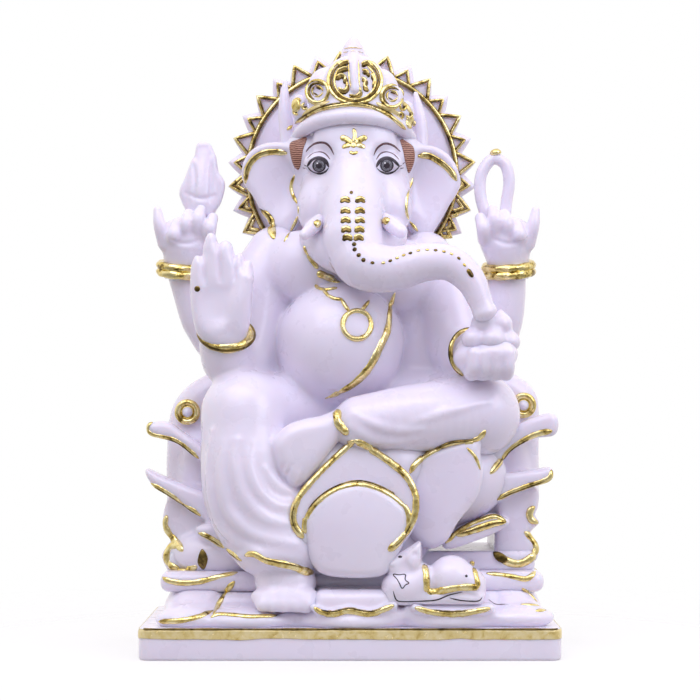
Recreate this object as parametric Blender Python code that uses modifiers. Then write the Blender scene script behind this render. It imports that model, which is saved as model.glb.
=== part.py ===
"""A seated Ganesha idol in white marble cast with gilded trim, as an assembly of its carved masses.

Blender units are metres. +Z is up, the figure faces -Y, and the origin is the centre of the plinth's
underside. Left and right are the figure's own, so its right side lies at -X. Positions in the part
functions are written in millimetres and pass through at(), which turns them into metres.
"""

import math

import bmesh
import bpy
from mathutils import Matrix, Vector
from mathutils.bvhtree import BVHTree

MM = 0.001

# Driving dimensions, in millimetres
PLINTH_WIDTH = 156.0
PLINTH_DEPTH = 90.0
PLINTH_HEIGHT = 12.0
IDOL_HEIGHT = 236.0
HALO_CENTRE = (0.8, 22.0, 186.5)
HALO_DISC_RADIUS = 41.0
HALO_RAY_RADIUS = 49.5
HALO_RAYS = 32
THRONE_HALF_WIDTH = 73.0
THRONE_TOP = 107.0
BELLY_CENTRE = (-3.8, -9.0, 117.3)
BELLY_RADII = (23.8, 22.0, 23.5)

GAP = 0.35  # clearance between two neighbouring pieces
VOXEL = 1.3  # grain of the fused lumps before they are thinned out
SMOOTHING = 6  # passes that soften the creases of a fused lump

WHITE = "white_marble"
GOLD = "gold_leaf"
COLOURS = {
    WHITE: ((0.86, 0.83, 0.90), 0.28, 0.0),
    GOLD: ((0.83, 0.61, 0.20), 0.25, 1.0),
}


def at(x, y, z):
    """A point given in millimetres, as a vector in metres."""
    return Vector((x, y, z)) * MM


def clear_scene():
    for obj in list(bpy.data.objects):
        bpy.data.objects.remove(obj)


def make_material(name):
    colour, roughness, metallic = COLOURS[name]
    made = bpy.data.materials.new(name)
    made.use_nodes = True
    shader = made.node_tree.nodes["Principled BSDF"]
    shader.inputs["Base Color"].default_value = (*colour, 1)
    shader.inputs["Roughness"].default_value = roughness
    shader.inputs["Metallic"].default_value = metallic
    return made


def aim(start, end):
    """The rotation that turns +Z onto the line from start to end."""
    return (end - start).to_track_quat("Z", "Y").to_matrix().to_4x4()


class Lump:
    """Overlapping primitives that are later fused into one soft solid."""

    def __init__(self):
        self.mesh = bmesh.new()

    def ball(self, centre, radii, turn=(0, 0, 0)):
        """An ellipsoid. turn is a rotation in degrees about X, then Y, then Z."""
        matrix = Matrix.Translation(at(*centre)) @ rotation(turn) @ Matrix.Diagonal((*at(*radii), 1))
        bmesh.ops.create_uvsphere(self.mesh, u_segments=20, v_segments=12, radius=1, matrix=matrix)
        return self

    def block(self, centre, half, turn=(0, 0, 0)):
        """A box of the given half sizes."""
        matrix = Matrix.Translation(at(*centre)) @ rotation(turn) @ Matrix.Diagonal((*at(*half), 1))
        bmesh.ops.create_cube(self.mesh, size=2, matrix=matrix)
        return self

    def limb(self, *stations):
        """A rounded limb through stations of (x, y, z, radius)."""
        for station in stations:
            self.ball(station[:3], (station[3],) * 3)
        for first, second in zip(stations, stations[1:]):
            start, end = at(*first[:3]), at(*second[:3])
            matrix = Matrix.Translation((start + end) / 2) @ aim(start, end)
            bmesh.ops.create_cone(
                self.mesh,
                cap_ends=True,
                segments=16,
                radius1=first[3] * MM,
                radius2=second[3] * MM,
                depth=(end - start).length,
                matrix=matrix,
            )
        return self


def rotation(turn):
    x, y, z = (math.radians(angle) for angle in turn)
    return Matrix.Rotation(z, 4, "Z") @ Matrix.Rotation(y, 4, "Y") @ Matrix.Rotation(x, 4, "X")


def add_object(name, mesh, material):
    obj = bpy.data.objects.new(name, mesh)
    mesh.materials.clear()
    mesh.materials.append(MATERIALS[material])
    IDOL.objects.link(obj)
    PIECES.append(obj)
    return obj


def bake(obj):
    """Applies the object's modifiers, so that its mesh can cut its neighbours."""
    graph = bpy.context.evaluated_depsgraph_get()
    mesh = bpy.data.meshes.new_from_object(obj.evaluated_get(graph))
    obj.modifiers.clear()
    obj.data = mesh
    return obj


def fuse(name, lump, triangles, material=WHITE, voxel=VOXEL, smoothing=SMOOTHING):
    """Fuses a lump with a voxel remesh, softens it and thins it to about that many triangles."""
    mesh = bpy.data.meshes.new(name)
    lump.mesh.to_mesh(mesh)
    lump.mesh.free()
    obj = add_object(name, mesh, material)
    remesh = obj.modifiers.new("Fuse", "REMESH")
    remesh.mode = "VOXEL"
    remesh.voxel_size = voxel * MM
    soften = obj.modifiers.new("Soften", "SMOOTH")
    soften.iterations = smoothing
    bake(obj)
    thin = obj.modifiers.new("Thin", "DECIMATE")
    thin.ratio = min(1.0, triangles / (2 * len(obj.data.polygons)))
    thin.use_collapse_triangulate = True
    return bake(obj)


def turned(name, profile, centre, turn, steps, material=WHITE):
    """A solid of revolution about its own Z. The profile runs down its outer side, as (radius, height)."""
    mesh = bpy.data.meshes.new(name)
    points = [(radius * MM, 0, height * MM) for radius, height in profile]
    mesh.from_pydata(points, [(i, i + 1) for i in range(len(points) - 1)], [])
    obj = add_object(name, mesh, material)
    screw = obj.modifiers.new("Turn", "SCREW")
    screw.steps = screw.render_steps = steps
    screw.use_merge_vertices = True
    screw.merge_threshold = 0.00005
    bake(obj)
    obj.data.transform(Matrix.Translation(at(*centre)) @ rotation(turn))
    return obj


def plate(name, outline, centre, turn, thickness, material=WHITE, bevel=0.0):
    """A flat outline of (x, y) points, given its thickness along its own Z."""
    curve = bpy.data.curves.new(name, "CURVE")
    curve.dimensions = "2D"
    curve.fill_mode = "BOTH"
    curve.extrude = thickness / 2 * MM
    spline = curve.splines.new("POLY")
    spline.points.add(len(outline) - 1)
    for point, (x, y) in zip(spline.points, outline):
        point.co = (x * MM, y * MM, 0, 1)
    spline.use_cyclic_u = True
    obj = as_mesh(name, curve, material)
    if bevel:
        edge = obj.modifiers.new("Edge", "BEVEL")
        edge.width = bevel * MM
        edge.segments = 1
        bake(obj)
    obj.data.transform(Matrix.Translation(at(*centre)) @ rotation(turn))
    return obj


def as_mesh(name, curve, material):
    """A curve turned into a mesh whose caps are welded to its sides."""
    guide = bpy.data.objects.new(name + "_guide", curve)
    IDOL.objects.link(guide)
    graph = bpy.context.evaluated_depsgraph_get()
    mesh = bpy.data.meshes.new_from_object(guide.evaluated_get(graph))
    bpy.data.objects.remove(guide)
    welded = bmesh.new()
    welded.from_mesh(mesh)
    bmesh.ops.remove_doubles(welded, verts=welded.verts, dist=0.00002)
    bmesh.ops.recalc_face_normals(welded, faces=welded.faces)
    welded.to_mesh(mesh)
    welded.free()
    return add_object(name, mesh, material)


def cord(name, points, radius, material=GOLD, closed=False):
    """A round bead of gold along a smooth line through the points."""
    curve = bpy.data.curves.new(name, "CURVE")
    curve.dimensions = "3D"
    curve.bevel_depth = radius * MM
    curve.bevel_resolution = 0
    curve.resolution_u = 4
    curve.use_fill_caps = not closed
    spline = curve.splines.new("BEZIER")
    spline.bezier_points.add(len(points) - 1)
    for knot, point in zip(spline.bezier_points, points):
        knot.co = at(*point)
        knot.handle_left_type = knot.handle_right_type = "AUTO"
    spline.use_cyclic_u = closed
    return as_mesh(name, curve, material)


def ring(name, centre, radius, tube, turn=(0, 0, 0), material=GOLD, flat=1.0):
    """A round ring about its own Z, whose tube is flattened along that axis by the given share."""
    bpy.ops.mesh.primitive_torus_add(
        major_segments=18,
        minor_segments=5,
        major_radius=radius * MM,
        minor_radius=tube * MM,
    )
    made = bpy.context.object
    mesh = made.data.copy()
    bpy.data.objects.remove(made)
    mesh.transform(Matrix.Translation(at(*centre)) @ rotation(turn) @ Matrix.Diagonal((1, 1, flat, 1)))
    return add_object(name, mesh, material)


def petal(name, base, tip, width, out, bow, cup, thickness, material=WHITE):
    """A lotus petal: a cupped leaf from base to tip, that bows towards out and curls up at its edges."""
    along_cells, across_cells = 6, 4
    start, end, outward = at(*base), at(*tip), Vector(out).normalized()
    across = (end - start).cross(outward).normalized()
    leaf = bmesh.new()
    bmesh.ops.create_grid(leaf, x_segments=across_cells, y_segments=along_cells, size=1)
    for vertex in leaf.verts:
        side, along = vertex.co.x, (vertex.co.y + 1) / 2
        reach = start.lerp(end, along) + outward * bow * MM * math.sin(math.pi * along)
        half = width / 2 * MM * max(0.12, math.sin(math.pi * min(1, along * 0.82 + 0.18)) ** 0.75)
        vertex.co = reach + across * side * half - outward * cup * MM * side * side
    mesh = bpy.data.meshes.new(name)
    leaf.to_mesh(mesh)
    leaf.free()
    obj = add_object(name, mesh, material)
    shell = obj.modifiers.new("Shell", "SOLIDIFY")
    shell.thickness = thickness * MM
    shell.offset = 0
    return bake(obj)


# The base and the throne


def make_base():
    half = Vector((PLINTH_WIDTH, PLINTH_DEPTH, PLINTH_HEIGHT)) / 2
    outline = [(-half.x, -half.y), (half.x, -half.y), (half.x, half.y), (-half.x, half.y)]
    plate("plinth", outline, (0, 0, half.z), (0, 0, 0), PLINTH_HEIGHT, bevel=1.2)
    carpet = Lump().block((1, 0, 14.5), (72, 41, 2.9))
    for x, y, reach in ((-58, -30, 15), (-30, -31, 16), (1, -31, 17), (33, -31, 16), (60, -30, 14)):
        carpet.ball((x, y, 15.0), (reach, 13, 3.4))
    for x in (-52, -18, 18, 52):
        carpet.ball((x, 0, 19.5), (19, 36, 4.6))
    fuse("ground_petals", carpet, 280)


def rounded_outline(half_x, low, high, radius, steps=4):
    """A rectangle's outline with round corners, from low to high."""
    points = []
    for corner, (x, y) in enumerate(((half_x, high), (-half_x, high), (-half_x, low), (half_x, low))):
        centre_x = x - math.copysign(radius, x)
        centre_y = y - radius if y == high else y + radius
        for step in range(steps + 1):
            angle = math.pi / 2 * (corner + step / steps)
            points.append((centre_x + radius * math.cos(angle), centre_y + radius * math.sin(angle)))
    return points


def make_throne():
    plate("throne_cushion", rounded_outline(72.5, -27, 38, 8), (0.8, 0, 28), (0, 0, 0), 6.6, bevel=2.2)
    plate("throne_slab", rounded_outline(70.5, -22, 37, 6), (0.8, 0, 35), (0, 0, 0), 6.2, bevel=1.0)
    back = plate(
        "throne_body", rounded_outline(THRONE_HALF_WIDTH, 47, THRONE_TOP, 19, 6), (0, 18, 0), (90, 0, 0), 38
    )
    edge = back.modifiers.new("Edge", "BEVEL")
    edge.width = 4 * MM
    edge.segments = 2
    edge.limit_method = "ANGLE"
    edge.angle_limit = math.radians(40)
    bake(back)
    scroll = [(-54, 38.5), (-66, 38.5), (-70, 42), (-69.8, 46), (-66.5, 48.6), (-70.4, 52), (-70.8, 58)]
    scroll += [(-69, 70), (-55, 70), (-56.5, 52), (-54.5, 46)]
    for side, sign in (("right", 1), ("left", -1)):
        outline = [(sign * x + 0.8, z) for x, z in scroll]
        plate(f"throne_leg_{side}", outline, (0, 11, 0), (90, 0, 0), 50, bevel=0.8)
    profile = [(0, 1.9), (2.1, 0.7), (3.4, 1.7), (4.7, 0), (0, 0)]
    for name, x, z in (("rosette_right", -62.8, 91.0), ("rosette_left", 67.0, 93.6)):
        turned(name, profile, (x, -1.35, z), (90, 0, 0), 12, GOLD)


def make_petals():
    core = Lump().ball((2, -14, 62), (38, 19, 24)).ball((1, -14, 44), (27, 15, 9))
    core.block((1, -14, 40), (22, 13, 2))
    fuse("lotus_core", core, 190)
    petal("petal_front_outer", (1.5, -31, 34), (1.5, -40, 82), 43, (0, -1, 0.1), 5.5, 5.0, 3.0)
    bulge = Lump().ball((1.8, -35, 49), (18.2, 7.5, 17.5))
    fuse("petal_front_inner", bulge, 120)
    petal("petal_front_left", (33, -26, 42), (44, -34, 87), 32, (0.25, -1, 0), 5.0, 4.5, 3.0)
    petal("petal_right_upper", (-52, -9, 72), (-76, -12, 85.5), 26, (-0.35, 0, 1), 2.0, -2.0, 3.2)
    petal("petal_right_middle", (-50, -11, 50), (-77.2, -13, 67), 27, (-0.35, 0, 1), -2.5, -2.0, 3.2)
    petal("petal_right_lower", (-35, -24, 36.5), (-61, -20.4, 48.3), 21, (0.35, 0, 1), 1.5, 1.5, 3.2)
    petal("petal_left_upper", (54, -9, 73), (77.4, -12, 86), 26, (0.35, 0, 1), -2.0, -2.0, 3.4)
    petal("petal_left_middle", (52, -11, 54), (77.2, -13, 66.5), 27, (0.35, 0, 1), -1.5, -2.0, 3.2)
    petal("petal_left_lower", (34, -26, 42.5), (61, -22, 50.5), 21, (-0.3, 0, 1), 1.8, 2.0, 3.6)


# The figure


def make_body():
    fuse("belly", Lump().ball(BELLY_CENTRE, BELLY_RADII), 190)
    torso = Lump().ball((0, 3, 140), (29, 14, 19)).ball((0, 10, 122), (27, 13, 26))
    torso.ball((-17, -8, 145), (13, 10, 12)).ball((18, -8, 143), (14, 9, 12))
    torso.ball((-31, 5, 149), (10, 10, 11)).ball((31, 5, 149), (10, 10, 11))
    torso.ball((1, 6, 158), (16, 13, 9)).ball((0, 4, 101), (31, 14, 13))
    fuse("torso", torso, 290)


def make_legs():
    hanging = Lump().limb((-14, -4, 90, 14), (-40, -25, 91, 14.5), (-38, -28, 73, 15.5))
    hanging.limb((-38, -28, 73, 15.5), (-31, -30, 54, 14.0), (-26, -31, 44, 12.0))
    hanging.ball((-26, -31, 38), (14, 11, 6))
    fuse("right_leg", hanging, 250)
    foot = Lump().ball((-24, -32, 27), (10.5, 8, 8)).ball((-24, -37, 22.5), (11.5, 5, 5))
    fuse("right_foot", foot, 90)
    folded = Lump().limb((14, -4, 92, 13), (46, -22, 88, 16.5), (22, -30, 89, 13), (2, -34, 88, 9.5))
    fuse("left_leg", folded, 230)
    fuse("left_foot", Lump().ball((-16.5, -36, 77), (12, 6.5, 12), (0, -15, 0)), 80)


def make_arms():
    """Each arm runs from the shoulder through the elbow to the wrist."""
    upper = ((-33, 10, 146, 10), (-51, 12, 124, 9.5), (-58, 12, 118, 9.5))
    fuse("rear_right_arm", Lump().limb(*upper, (-63, 9, 131, 8.5), (-65.5, 7, 143, 7.8)), 130)
    upper = ((33, 10, 146, 10), (50, 12, 124, 9.5), (55, 12, 118, 9.5))
    fuse("rear_left_arm", Lump().limb(*upper, (59.5, 9, 131, 8.5), (61.5, 7, 143, 7.8)), 130)
    upper = ((-34, 0, 150, 9.5), (-43, -3, 130, 9.5), (-45, -9, 112, 9))
    fuse("front_right_arm", Lump().limb(*upper, (-47, -18, 112, 8.8), (-47, -23, 115.5, 8)), 130)
    upper = ((34, 0, 148, 9.5), (41, -4, 130, 9.5), (43, -10, 116, 9))
    fuse("front_left_arm", Lump().limb(*upper, (45, -20, 114, 8.5), (47, -27, 113.5, 7.5)), 130)


def make_hands():
    """Each hand is a palm with fingers. The front right one is raised, and the others hold things."""
    blessing = Lump().ball((-48.5, -28, 127), (10.6, 5.2, 12)).ball((-49, -29.5, 137), (10.2, 4.2, 6))
    for x, top, lean in ((-57, 147, -1.0), (-52.6, 155.5, -0.3), (-47.8, 154.5, 0.2), (-43.4, 150, 0.9)):
        blessing.limb((x + 1, -30, 134, 2.5), (x + lean, -30, top, 2.0))
    blessing.limb((-42, -31, 130, 3.0), (-38.8, -33, 143, 2.1), (-38.6, -32, 148.5, 1.8))
    fuse("front_right_hand", blessing, 190, voxel=0.9, smoothing=3)

    offering = Lump().ball((49, -33.5, 112), (9, 8.5, 5.5)).ball((54, -35.5, 114), (7, 7, 6))
    for x in (46.5, 51.5, 56.5):
        offering.limb((x, -38, 110, 2.6), (x + 1, -41.8, 112.5, 2.3), (x + 1.5, -41.8, 116.5, 2.0))
    fuse("front_left_hand", offering, 140, voxel=0.9, smoothing=3)

    grip = Lump().ball((-63.5, 5, 156.5), (10.2, 7.6, 9.5))
    for x, top in ((-70.5, 164.5), (-65, 167.5), (-59.5, 169), (-55.5, 164)):
        grip.limb((x, 0, 158, 2.9), (x + 0.6, -3.5, top - 3, 2.5), (x + 1, 0, top, 2.1))
    grip.limb((-70, 3, 160, 3.0), (-74, 2, 167, 1.9))
    fuse("rear_right_hand", grip, 150, voxel=0.9, smoothing=3)

    grip = Lump().ball((62, 5, 156.5), (10.2, 7.6, 9.5))
    for x, top in ((54.5, 166), (59, 168), (64, 168.5), (68.5, 165)):
        grip.limb((x, 0, 158, 2.9), (x - 0.6, -3.5, top - 3, 2.5), (x - 1, 0, top, 2.1))
    grip.limb((68.5, 3, 160, 3.0), (73.2, 2, 168.5, 1.9))
    fuse("rear_left_hand", grip, 150, voxel=0.9, smoothing=3)


def make_held_things():
    bud = Lump().ball((-57.5, 4, 181), (5.2, 4.6, 13.5)).limb((-57, 4, 186, 3.4), (-56.5, 4, 194.6, 1.8))
    bud.ball((-62.5, 4, 177), (3.6, 3.4, 7), (0, 14, 0)).limb((-54, 4, 173, 3.4), (-49.5, 4, 179.5, 1.5))
    bud.ball((-58, 4, 169), (6, 5, 6))
    fuse("goad_bud", bud, 120, voxel=0.9, smoothing=3)
    loop = [(53.2, 4, 168), (51.2, 4, 178), (52.2, 4, 186), (56, 4, 190)]
    loop += [(60.4, 4, 186.5), (61.4, 4, 179), (60.4, 4, 168)]
    cord("noose", loop, 2.3, WHITE)
    sweets = Lump()
    balls = ((48, -37, 119.5), (54.5, -38, 119.5), (51, -32, 120), (51.5, -36.5, 125.5), (58, -34, 119.5))
    for x, y, z in balls:
        sweets.ball((x, y, z), (4.2, 4.2, 4.0)).limb((x, y, z + 2, 2.2), (x, y, z + 5, 0.9))
    fuse("sweets", sweets, 140, voxel=0.9, smoothing=2)


def make_head():
    head = Lump().ball((2.2, 4, 184), (23, 20, 23)).ball((2.2, -2, 174), (21, 17, 18))
    head.ball((2.2, -9, 192), (17, 9, 13)).ball((2.2, 0, 163), (17, 14, 10))
    head.ball((-10, -8, 165), (9, 9, 10)).ball((14.5, -8, 165), (9, 9, 10))
    fuse("head", head, 280)
    nose = Lump().limb((1.5, -14, 176, 10.5), (1.2, -20, 166, 11.8), (1.0, -26, 156, 11.3))
    nose.limb((1.0, -26, 156, 11.3), (4.5, -31, 146, 9.8), (15, -34, 141.6, 8.2), (27, -36, 144.6, 7.0))
    nose.limb((27, -36, 144.6, 7.0), (37, -37, 145.2, 6.3), (45, -38, 138.4, 5.2), (49, -39, 130.8, 4.2))
    fuse("trunk", nose, 270)
    ear = Lump().ball((-30.5, 4, 177), (11, 3.0, 17.5), (0, 8, 18))
    fuse("right_ear", ear.ball((-26, 3, 165), (7, 2.6, 10), (0, -18, 14)), 110)
    ear = Lump().ball((33.5, 4, 177), (11, 3.0, 17.5), (0, -8, -18))
    fuse("left_ear", ear.ball((29, 3, 165), (7, 2.6, 10), (0, 18, -14)), 110)
    tusk = Lump().limb((-15.5, -14, 155.5, 3.8), (-14.5, -24, 157.5, 3.0), (-12.3, -30, 161.5, 1.5))
    fuse("right_tusk", tusk, 60, voxel=0.8, smoothing=2)
    tusk = Lump().limb((18, -14, 155.5, 4.8), (17, -25, 157.5, 3.8), (13.2, -33, 162.8, 1.6))
    fuse("left_tusk", tusk, 60, voxel=0.8, smoothing=2)


def make_crown():
    cap = [(0, 32.3), (3.6, 26.5), (4.6, 22.5), (13.5, 16.0), (19.0, 6.0), (20, 0), (0, 0)]
    turned("crown_cap", cap, (1.2, 6, IDOL_HEIGHT - 32.3), (0, 0, 0), 16)
    fuse("crown_band", brow_arch(197.5, 3.0, 80), 140)
    tiara = brow_arch(202.5, 1.9, 64)
    tiara.ball((1.4, -17.5, 216), (10.8, 2.0, 10.4))
    tiara.ball((-12.4, -13.5, 213.0), (5.8, 2.0, 5.8), (0, 0, -24))
    tiara.ball((16.2, -13.5, 212.5), (5.8, 2.0, 5.8), (0, 0, 24))
    tiara.ball((-19, -7, 207.5), (3.6, 2, 4.2), (0, 0, -50))
    tiara.ball((22.5, -7, 206), (3.6, 2, 4.2), (0, 0, 50))
    fuse("crown_front", tiara, 250, voxel=0.9, smoothing=3)
    horn = Lump().limb((-24, 4, 195, 3.4), (-25.4, 4, 207, 2.8), (-25.6, 4, 218.5, 1.2))
    fuse("crown_horn_right", horn, 50, voxel=0.8)
    horn = Lump().limb((27.5, 4, 193, 3.4), (26.6, 4, 204, 2.8), (25.4, 4, 214, 1.2))
    fuse("crown_horn_left", horn, 50, voxel=0.8)


def brow_arch(height, radius, reach):
    """A round bar that runs round the forehead and rises at its middle. reach is its half angle."""
    steps = 8
    stations = []
    for step in range(steps + 1):
        angle = math.radians(reach * (2 * step / steps - 1))
        x = 2.2 + 22.5 * math.sin(angle)
        y = 4 - 22.0 * math.cos(angle)
        stations.append((x, y, height + 7.5 * math.cos(angle), radius))
    return Lump().limb(*stations)


def make_halo():
    x, y, z = HALO_CENTRE
    rim = HALO_DISC_RADIUS
    turned("halo_disc", [(0, 2.5), (rim - 1, 2.5), (rim, 1.5), (rim, -2.5), (0, -2.5)], (x, y, z), (90, 0, 0), 32)
    outline = []
    for step in range(2 * HALO_RAYS):
        angle = math.pi * step / HALO_RAYS
        tip = HALO_RAY_RADIUS - (1.2 if step % 4 == 2 else 0)
        radius = tip if step % 2 == 0 else HALO_RAY_RADIUS - 5.5
        outline.append((radius * math.cos(angle), radius * math.sin(angle)))
    rays = plate("halo_rays", outline, (x, y + 0.4, z), (90, 0, 0), 3.6)
    hole = Lump()
    matrix = Matrix.Translation(at(x, y, z)) @ rotation((90, 0, 0))
    bmesh.ops.create_cone(
        hole.mesh,
        cap_ends=True,
        segments=32,
        radius1=(rim + GAP) * MM,
        radius2=(rim + GAP) * MM,
        depth=12 * MM,
        matrix=matrix,
    )
    cut(rays, cutter_from(hole, "halo_rays_hole"))


def make_ornaments():
    """Raised gold: the necklace, pendant, sacred thread, waist cord and one bangle on each wrist."""
    chain = [(-17.5, -13, 154), (-15.5, -17, 148), (-12, -20, 143), (-6.5, -23, 137), (-1.5, -27, 131.5)]
    cord("necklace", chain, 1.5)
    ring("pendant", (2.2, -30.6, 124.0), 5.3, 1.3, (78, 0, 4))
    thread = [(14.5, -20, 131), (14.2, -24, 124), (12.2, -28.2, 115.5)]
    thread += [(7.5, -30.8, 108), (0.5, -30.6, 102), (-6.5, -27.5, 97.8)]
    cord("sacred_thread", thread, 1.4)
    cord("waist_cord", [(-4.6, -33.5, 94), (-3.8, -38, 89), (-1.2, -42.5, 84.5)], 1.3)
    ring("bangle_rear_right", (-65.8, 6.6, 146.2), 8.6, 1.7, (6, 3, 0))
    ring("bangle_rear_left", (61.8, 6.6, 146.2), 8.6, 1.7, (6, -3, 0))
    ring("bangle_front_right", (-47.2, -24.5, 117.5), 8.8, 1.6, (42, 0, 0))
    ring("bangle_front_left", (46.0, -24, 113.8), 8.6, 1.4, (78, 0, 20))


def make_mouse():
    mouse = Lump().ball((37, -35, 28.5), (11, 7.5, 9.5)).ball((20.5, -36.5, 28), (8, 6.5, 8.2))
    mouse.ball((19.5, -37, 36), (6.5, 5.5, 5), (0, -20, 0)).limb((17, -38, 36, 3.2), (13.6, -39, 36.5, 1.6))
    mouse.limb((24, -36, 38, 2.4), (25.6, -36, 41.6, 1.0)).ball((33, -36, 22.5), (13, 6.5, 4))
    fuse("mouse", mouse, 190, voxel=0.9, smoothing=3)
    saddle = Lump().ball((37.3, -34.8, 29.2), (8.6, 9.0, 10.8))
    fuse("mouse_saddle", saddle, 90, voxel=0.9, smoothing=3)


# Fitting the pieces together


def cutter_from(lump, name):
    mesh = bpy.data.meshes.new(name)
    lump.mesh.to_mesh(mesh)
    lump.mesh.free()
    return add_cutter(name, mesh)


def add_cutter(name, mesh):
    cutter = bpy.data.objects.new(name, mesh)
    cutter.hide_render = True
    cutter.display_type = "WIRE"
    CUTTERS.objects.link(cutter)
    return cutter


def swollen(obj):
    """A cutter as large as the object plus the gap that a neighbour keeps from it."""
    mesh = obj.data.copy()
    moves = [vertex.normal.copy() * GAP * MM for vertex in mesh.vertices]
    for vertex, move in zip(mesh.vertices, moves):
        vertex.co += move
    return add_cutter(obj.name + "_room", mesh)


def cut(obj, cutter):
    bite = obj.modifiers.new("Cut", "BOOLEAN")
    bite.operation = "DIFFERENCE"
    bite.object = cutter
    bake(obj)


def box_of(obj):
    corners = [Vector(corner) for corner in obj.bound_box]
    low = Vector(min(corner[i] for corner in corners) for i in range(3))
    high = Vector(max(corner[i] for corner in corners) for i in range(3))
    return low, high


def boxes_meet(first, second):
    return all(first[0][i] < second[1][i] and second[0][i] < first[1][i] for i in range(3))


def tree_of(obj):
    points = [vertex.co for vertex in obj.data.vertices]
    return BVHTree.FromPolygons(points, [face.vertices[:] for face in obj.data.polygons])


def drop_crumbs(obj):
    """Keeps the largest body of a piece that its cuts have parted."""
    mesh = bmesh.new()
    mesh.from_mesh(obj.data)
    bmesh.ops.remove_doubles(mesh, verts=mesh.verts, dist=0.000005)
    left, islands = set(mesh.verts), []
    while left:
        front = [left.pop()]
        island = set(front)
        while front:
            vertex = front.pop()
            for edge in vertex.link_edges:
                other = edge.other_vert(vertex)
                if other in left:
                    left.discard(other)
                    island.add(other)
                    front.append(other)
        islands.append(island)
    islands.sort(key=len, reverse=True)
    for island in islands[1:]:
        bmesh.ops.delete(mesh, geom=list(island), context="VERTS")
    mesh.to_mesh(obj.data)
    mesh.free()


def fit_together():
    """Each piece gives way to the whole shape of those made before it, so that no two share space."""
    rooms = [swollen(obj) for obj in PIECES]
    for index, obj in enumerate(PIECES):
        for room in rooms[:index]:
            if boxes_meet(box_of(obj), box_of(room)) and tree_of(obj).overlap(tree_of(room)):
                cut(obj, room)
        drop_crumbs(obj)


def shade(obj):
    obj.data.shade_smooth()
    obj.data.set_sharp_from_angle(angle=math.radians(35))


clear_scene()
IDOL = bpy.data.collections.new("ganesha_idol")
CUTTERS = bpy.data.collections.new("cutters")
for collection in (IDOL, CUTTERS):
    bpy.context.scene.collection.children.link(collection)
MATERIALS = {name: make_material(name) for name in COLOURS}
PIECES = []
make_base()
make_throne()
make_ornaments()
make_halo()
make_crown()
make_head()
make_held_things()
make_hands()
make_mouse()
make_body()
make_arms()
make_legs()
make_petals()
fit_together()
for piece in PIECES:
    shade(piece)
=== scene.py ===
"""The looks of a seated Ganesha idol: white cast marble with gilded trim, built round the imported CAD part.

Shapes are written in the idol's own millimetres, in the frame of the CAD part: +Z is up, the figure faces
-Y and the origin is the centre of the plinth's underside. UNIT turns them into metres, from the CAD part's
height. Left and right in names are the figure's own, so its right side lies at -X.

Most white masses are modelled as clay: fields of distances on a grid, which melt into each other. Gold and
paint are then laid on the white surfaces, along lines given as they are seen from the camera. A seen point
(x, z) is where its line of sight crosses the plane y = 0.
"""

import math

import bpy
import numpy as np
import openvdb
from mathutils import Euler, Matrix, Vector, noise
from mathutils.bvhtree import BVHTree


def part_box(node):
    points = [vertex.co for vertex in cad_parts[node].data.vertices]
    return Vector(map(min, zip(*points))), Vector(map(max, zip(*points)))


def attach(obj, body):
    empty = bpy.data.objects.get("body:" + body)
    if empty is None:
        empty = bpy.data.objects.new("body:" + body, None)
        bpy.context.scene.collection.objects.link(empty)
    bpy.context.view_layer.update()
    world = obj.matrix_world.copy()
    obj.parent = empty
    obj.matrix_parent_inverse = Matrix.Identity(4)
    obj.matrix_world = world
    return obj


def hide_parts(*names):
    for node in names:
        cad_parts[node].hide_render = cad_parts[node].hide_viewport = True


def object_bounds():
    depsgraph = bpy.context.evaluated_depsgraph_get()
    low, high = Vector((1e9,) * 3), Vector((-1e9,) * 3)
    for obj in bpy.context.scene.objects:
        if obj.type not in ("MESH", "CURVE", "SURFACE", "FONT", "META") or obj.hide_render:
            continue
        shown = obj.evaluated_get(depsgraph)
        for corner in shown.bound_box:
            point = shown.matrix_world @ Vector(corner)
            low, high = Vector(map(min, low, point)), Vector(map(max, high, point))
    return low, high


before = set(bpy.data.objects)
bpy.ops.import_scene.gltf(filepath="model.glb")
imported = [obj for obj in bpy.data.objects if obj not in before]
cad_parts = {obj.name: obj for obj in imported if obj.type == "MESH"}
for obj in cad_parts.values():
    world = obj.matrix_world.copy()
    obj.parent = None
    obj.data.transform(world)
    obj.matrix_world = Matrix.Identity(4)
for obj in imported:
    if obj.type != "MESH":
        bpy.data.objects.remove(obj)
CAD_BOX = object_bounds()

IDOL_HEIGHT = 236.0
UNIT = (CAD_BOX[1].z - CAD_BOX[0].z) / IDOL_HEIGHT
EYE = np.array((0.0, -900.0, 100.0))  # the camera's place
FAR = 6.0  # distances in a clay's field are only kept up to this
LEAP = 3.5  # neighbours on a gold line that are further apart than this are on different surfaces
UPRIGHT = (90, 0, 0)  # turns a round shape's axis from up to forward

MARBLE_SLOT = "white_marble"
GOLD_SLOT = "gold_leaf"


# Lines


def spline(knots, steps=6, closed=False):
    """A smooth line through the knots, of any dimension, as one row per point."""
    knots = np.array(knots, float)
    if closed:
        knots = np.vstack([knots[-1:], knots, knots[:2]])
    else:
        knots = np.vstack([2 * knots[0] - knots[1], knots, 2 * knots[-1] - knots[-2]])
    t = np.linspace(0, 1, steps, endpoint=False)[:, None]
    rows = []
    for a, b, c, d in zip(knots, knots[1:], knots[2:], knots[3:]):
        curve = 2 * b + (c - a) * t + (2 * a - 5 * b + 4 * c - d) * t**2 + (3 * b - a - 3 * c + d) * t**3
        rows.append(curve / 2)
    if not closed:
        rows.append(knots[-2:-1])
    return np.vstack(rows)


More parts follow.
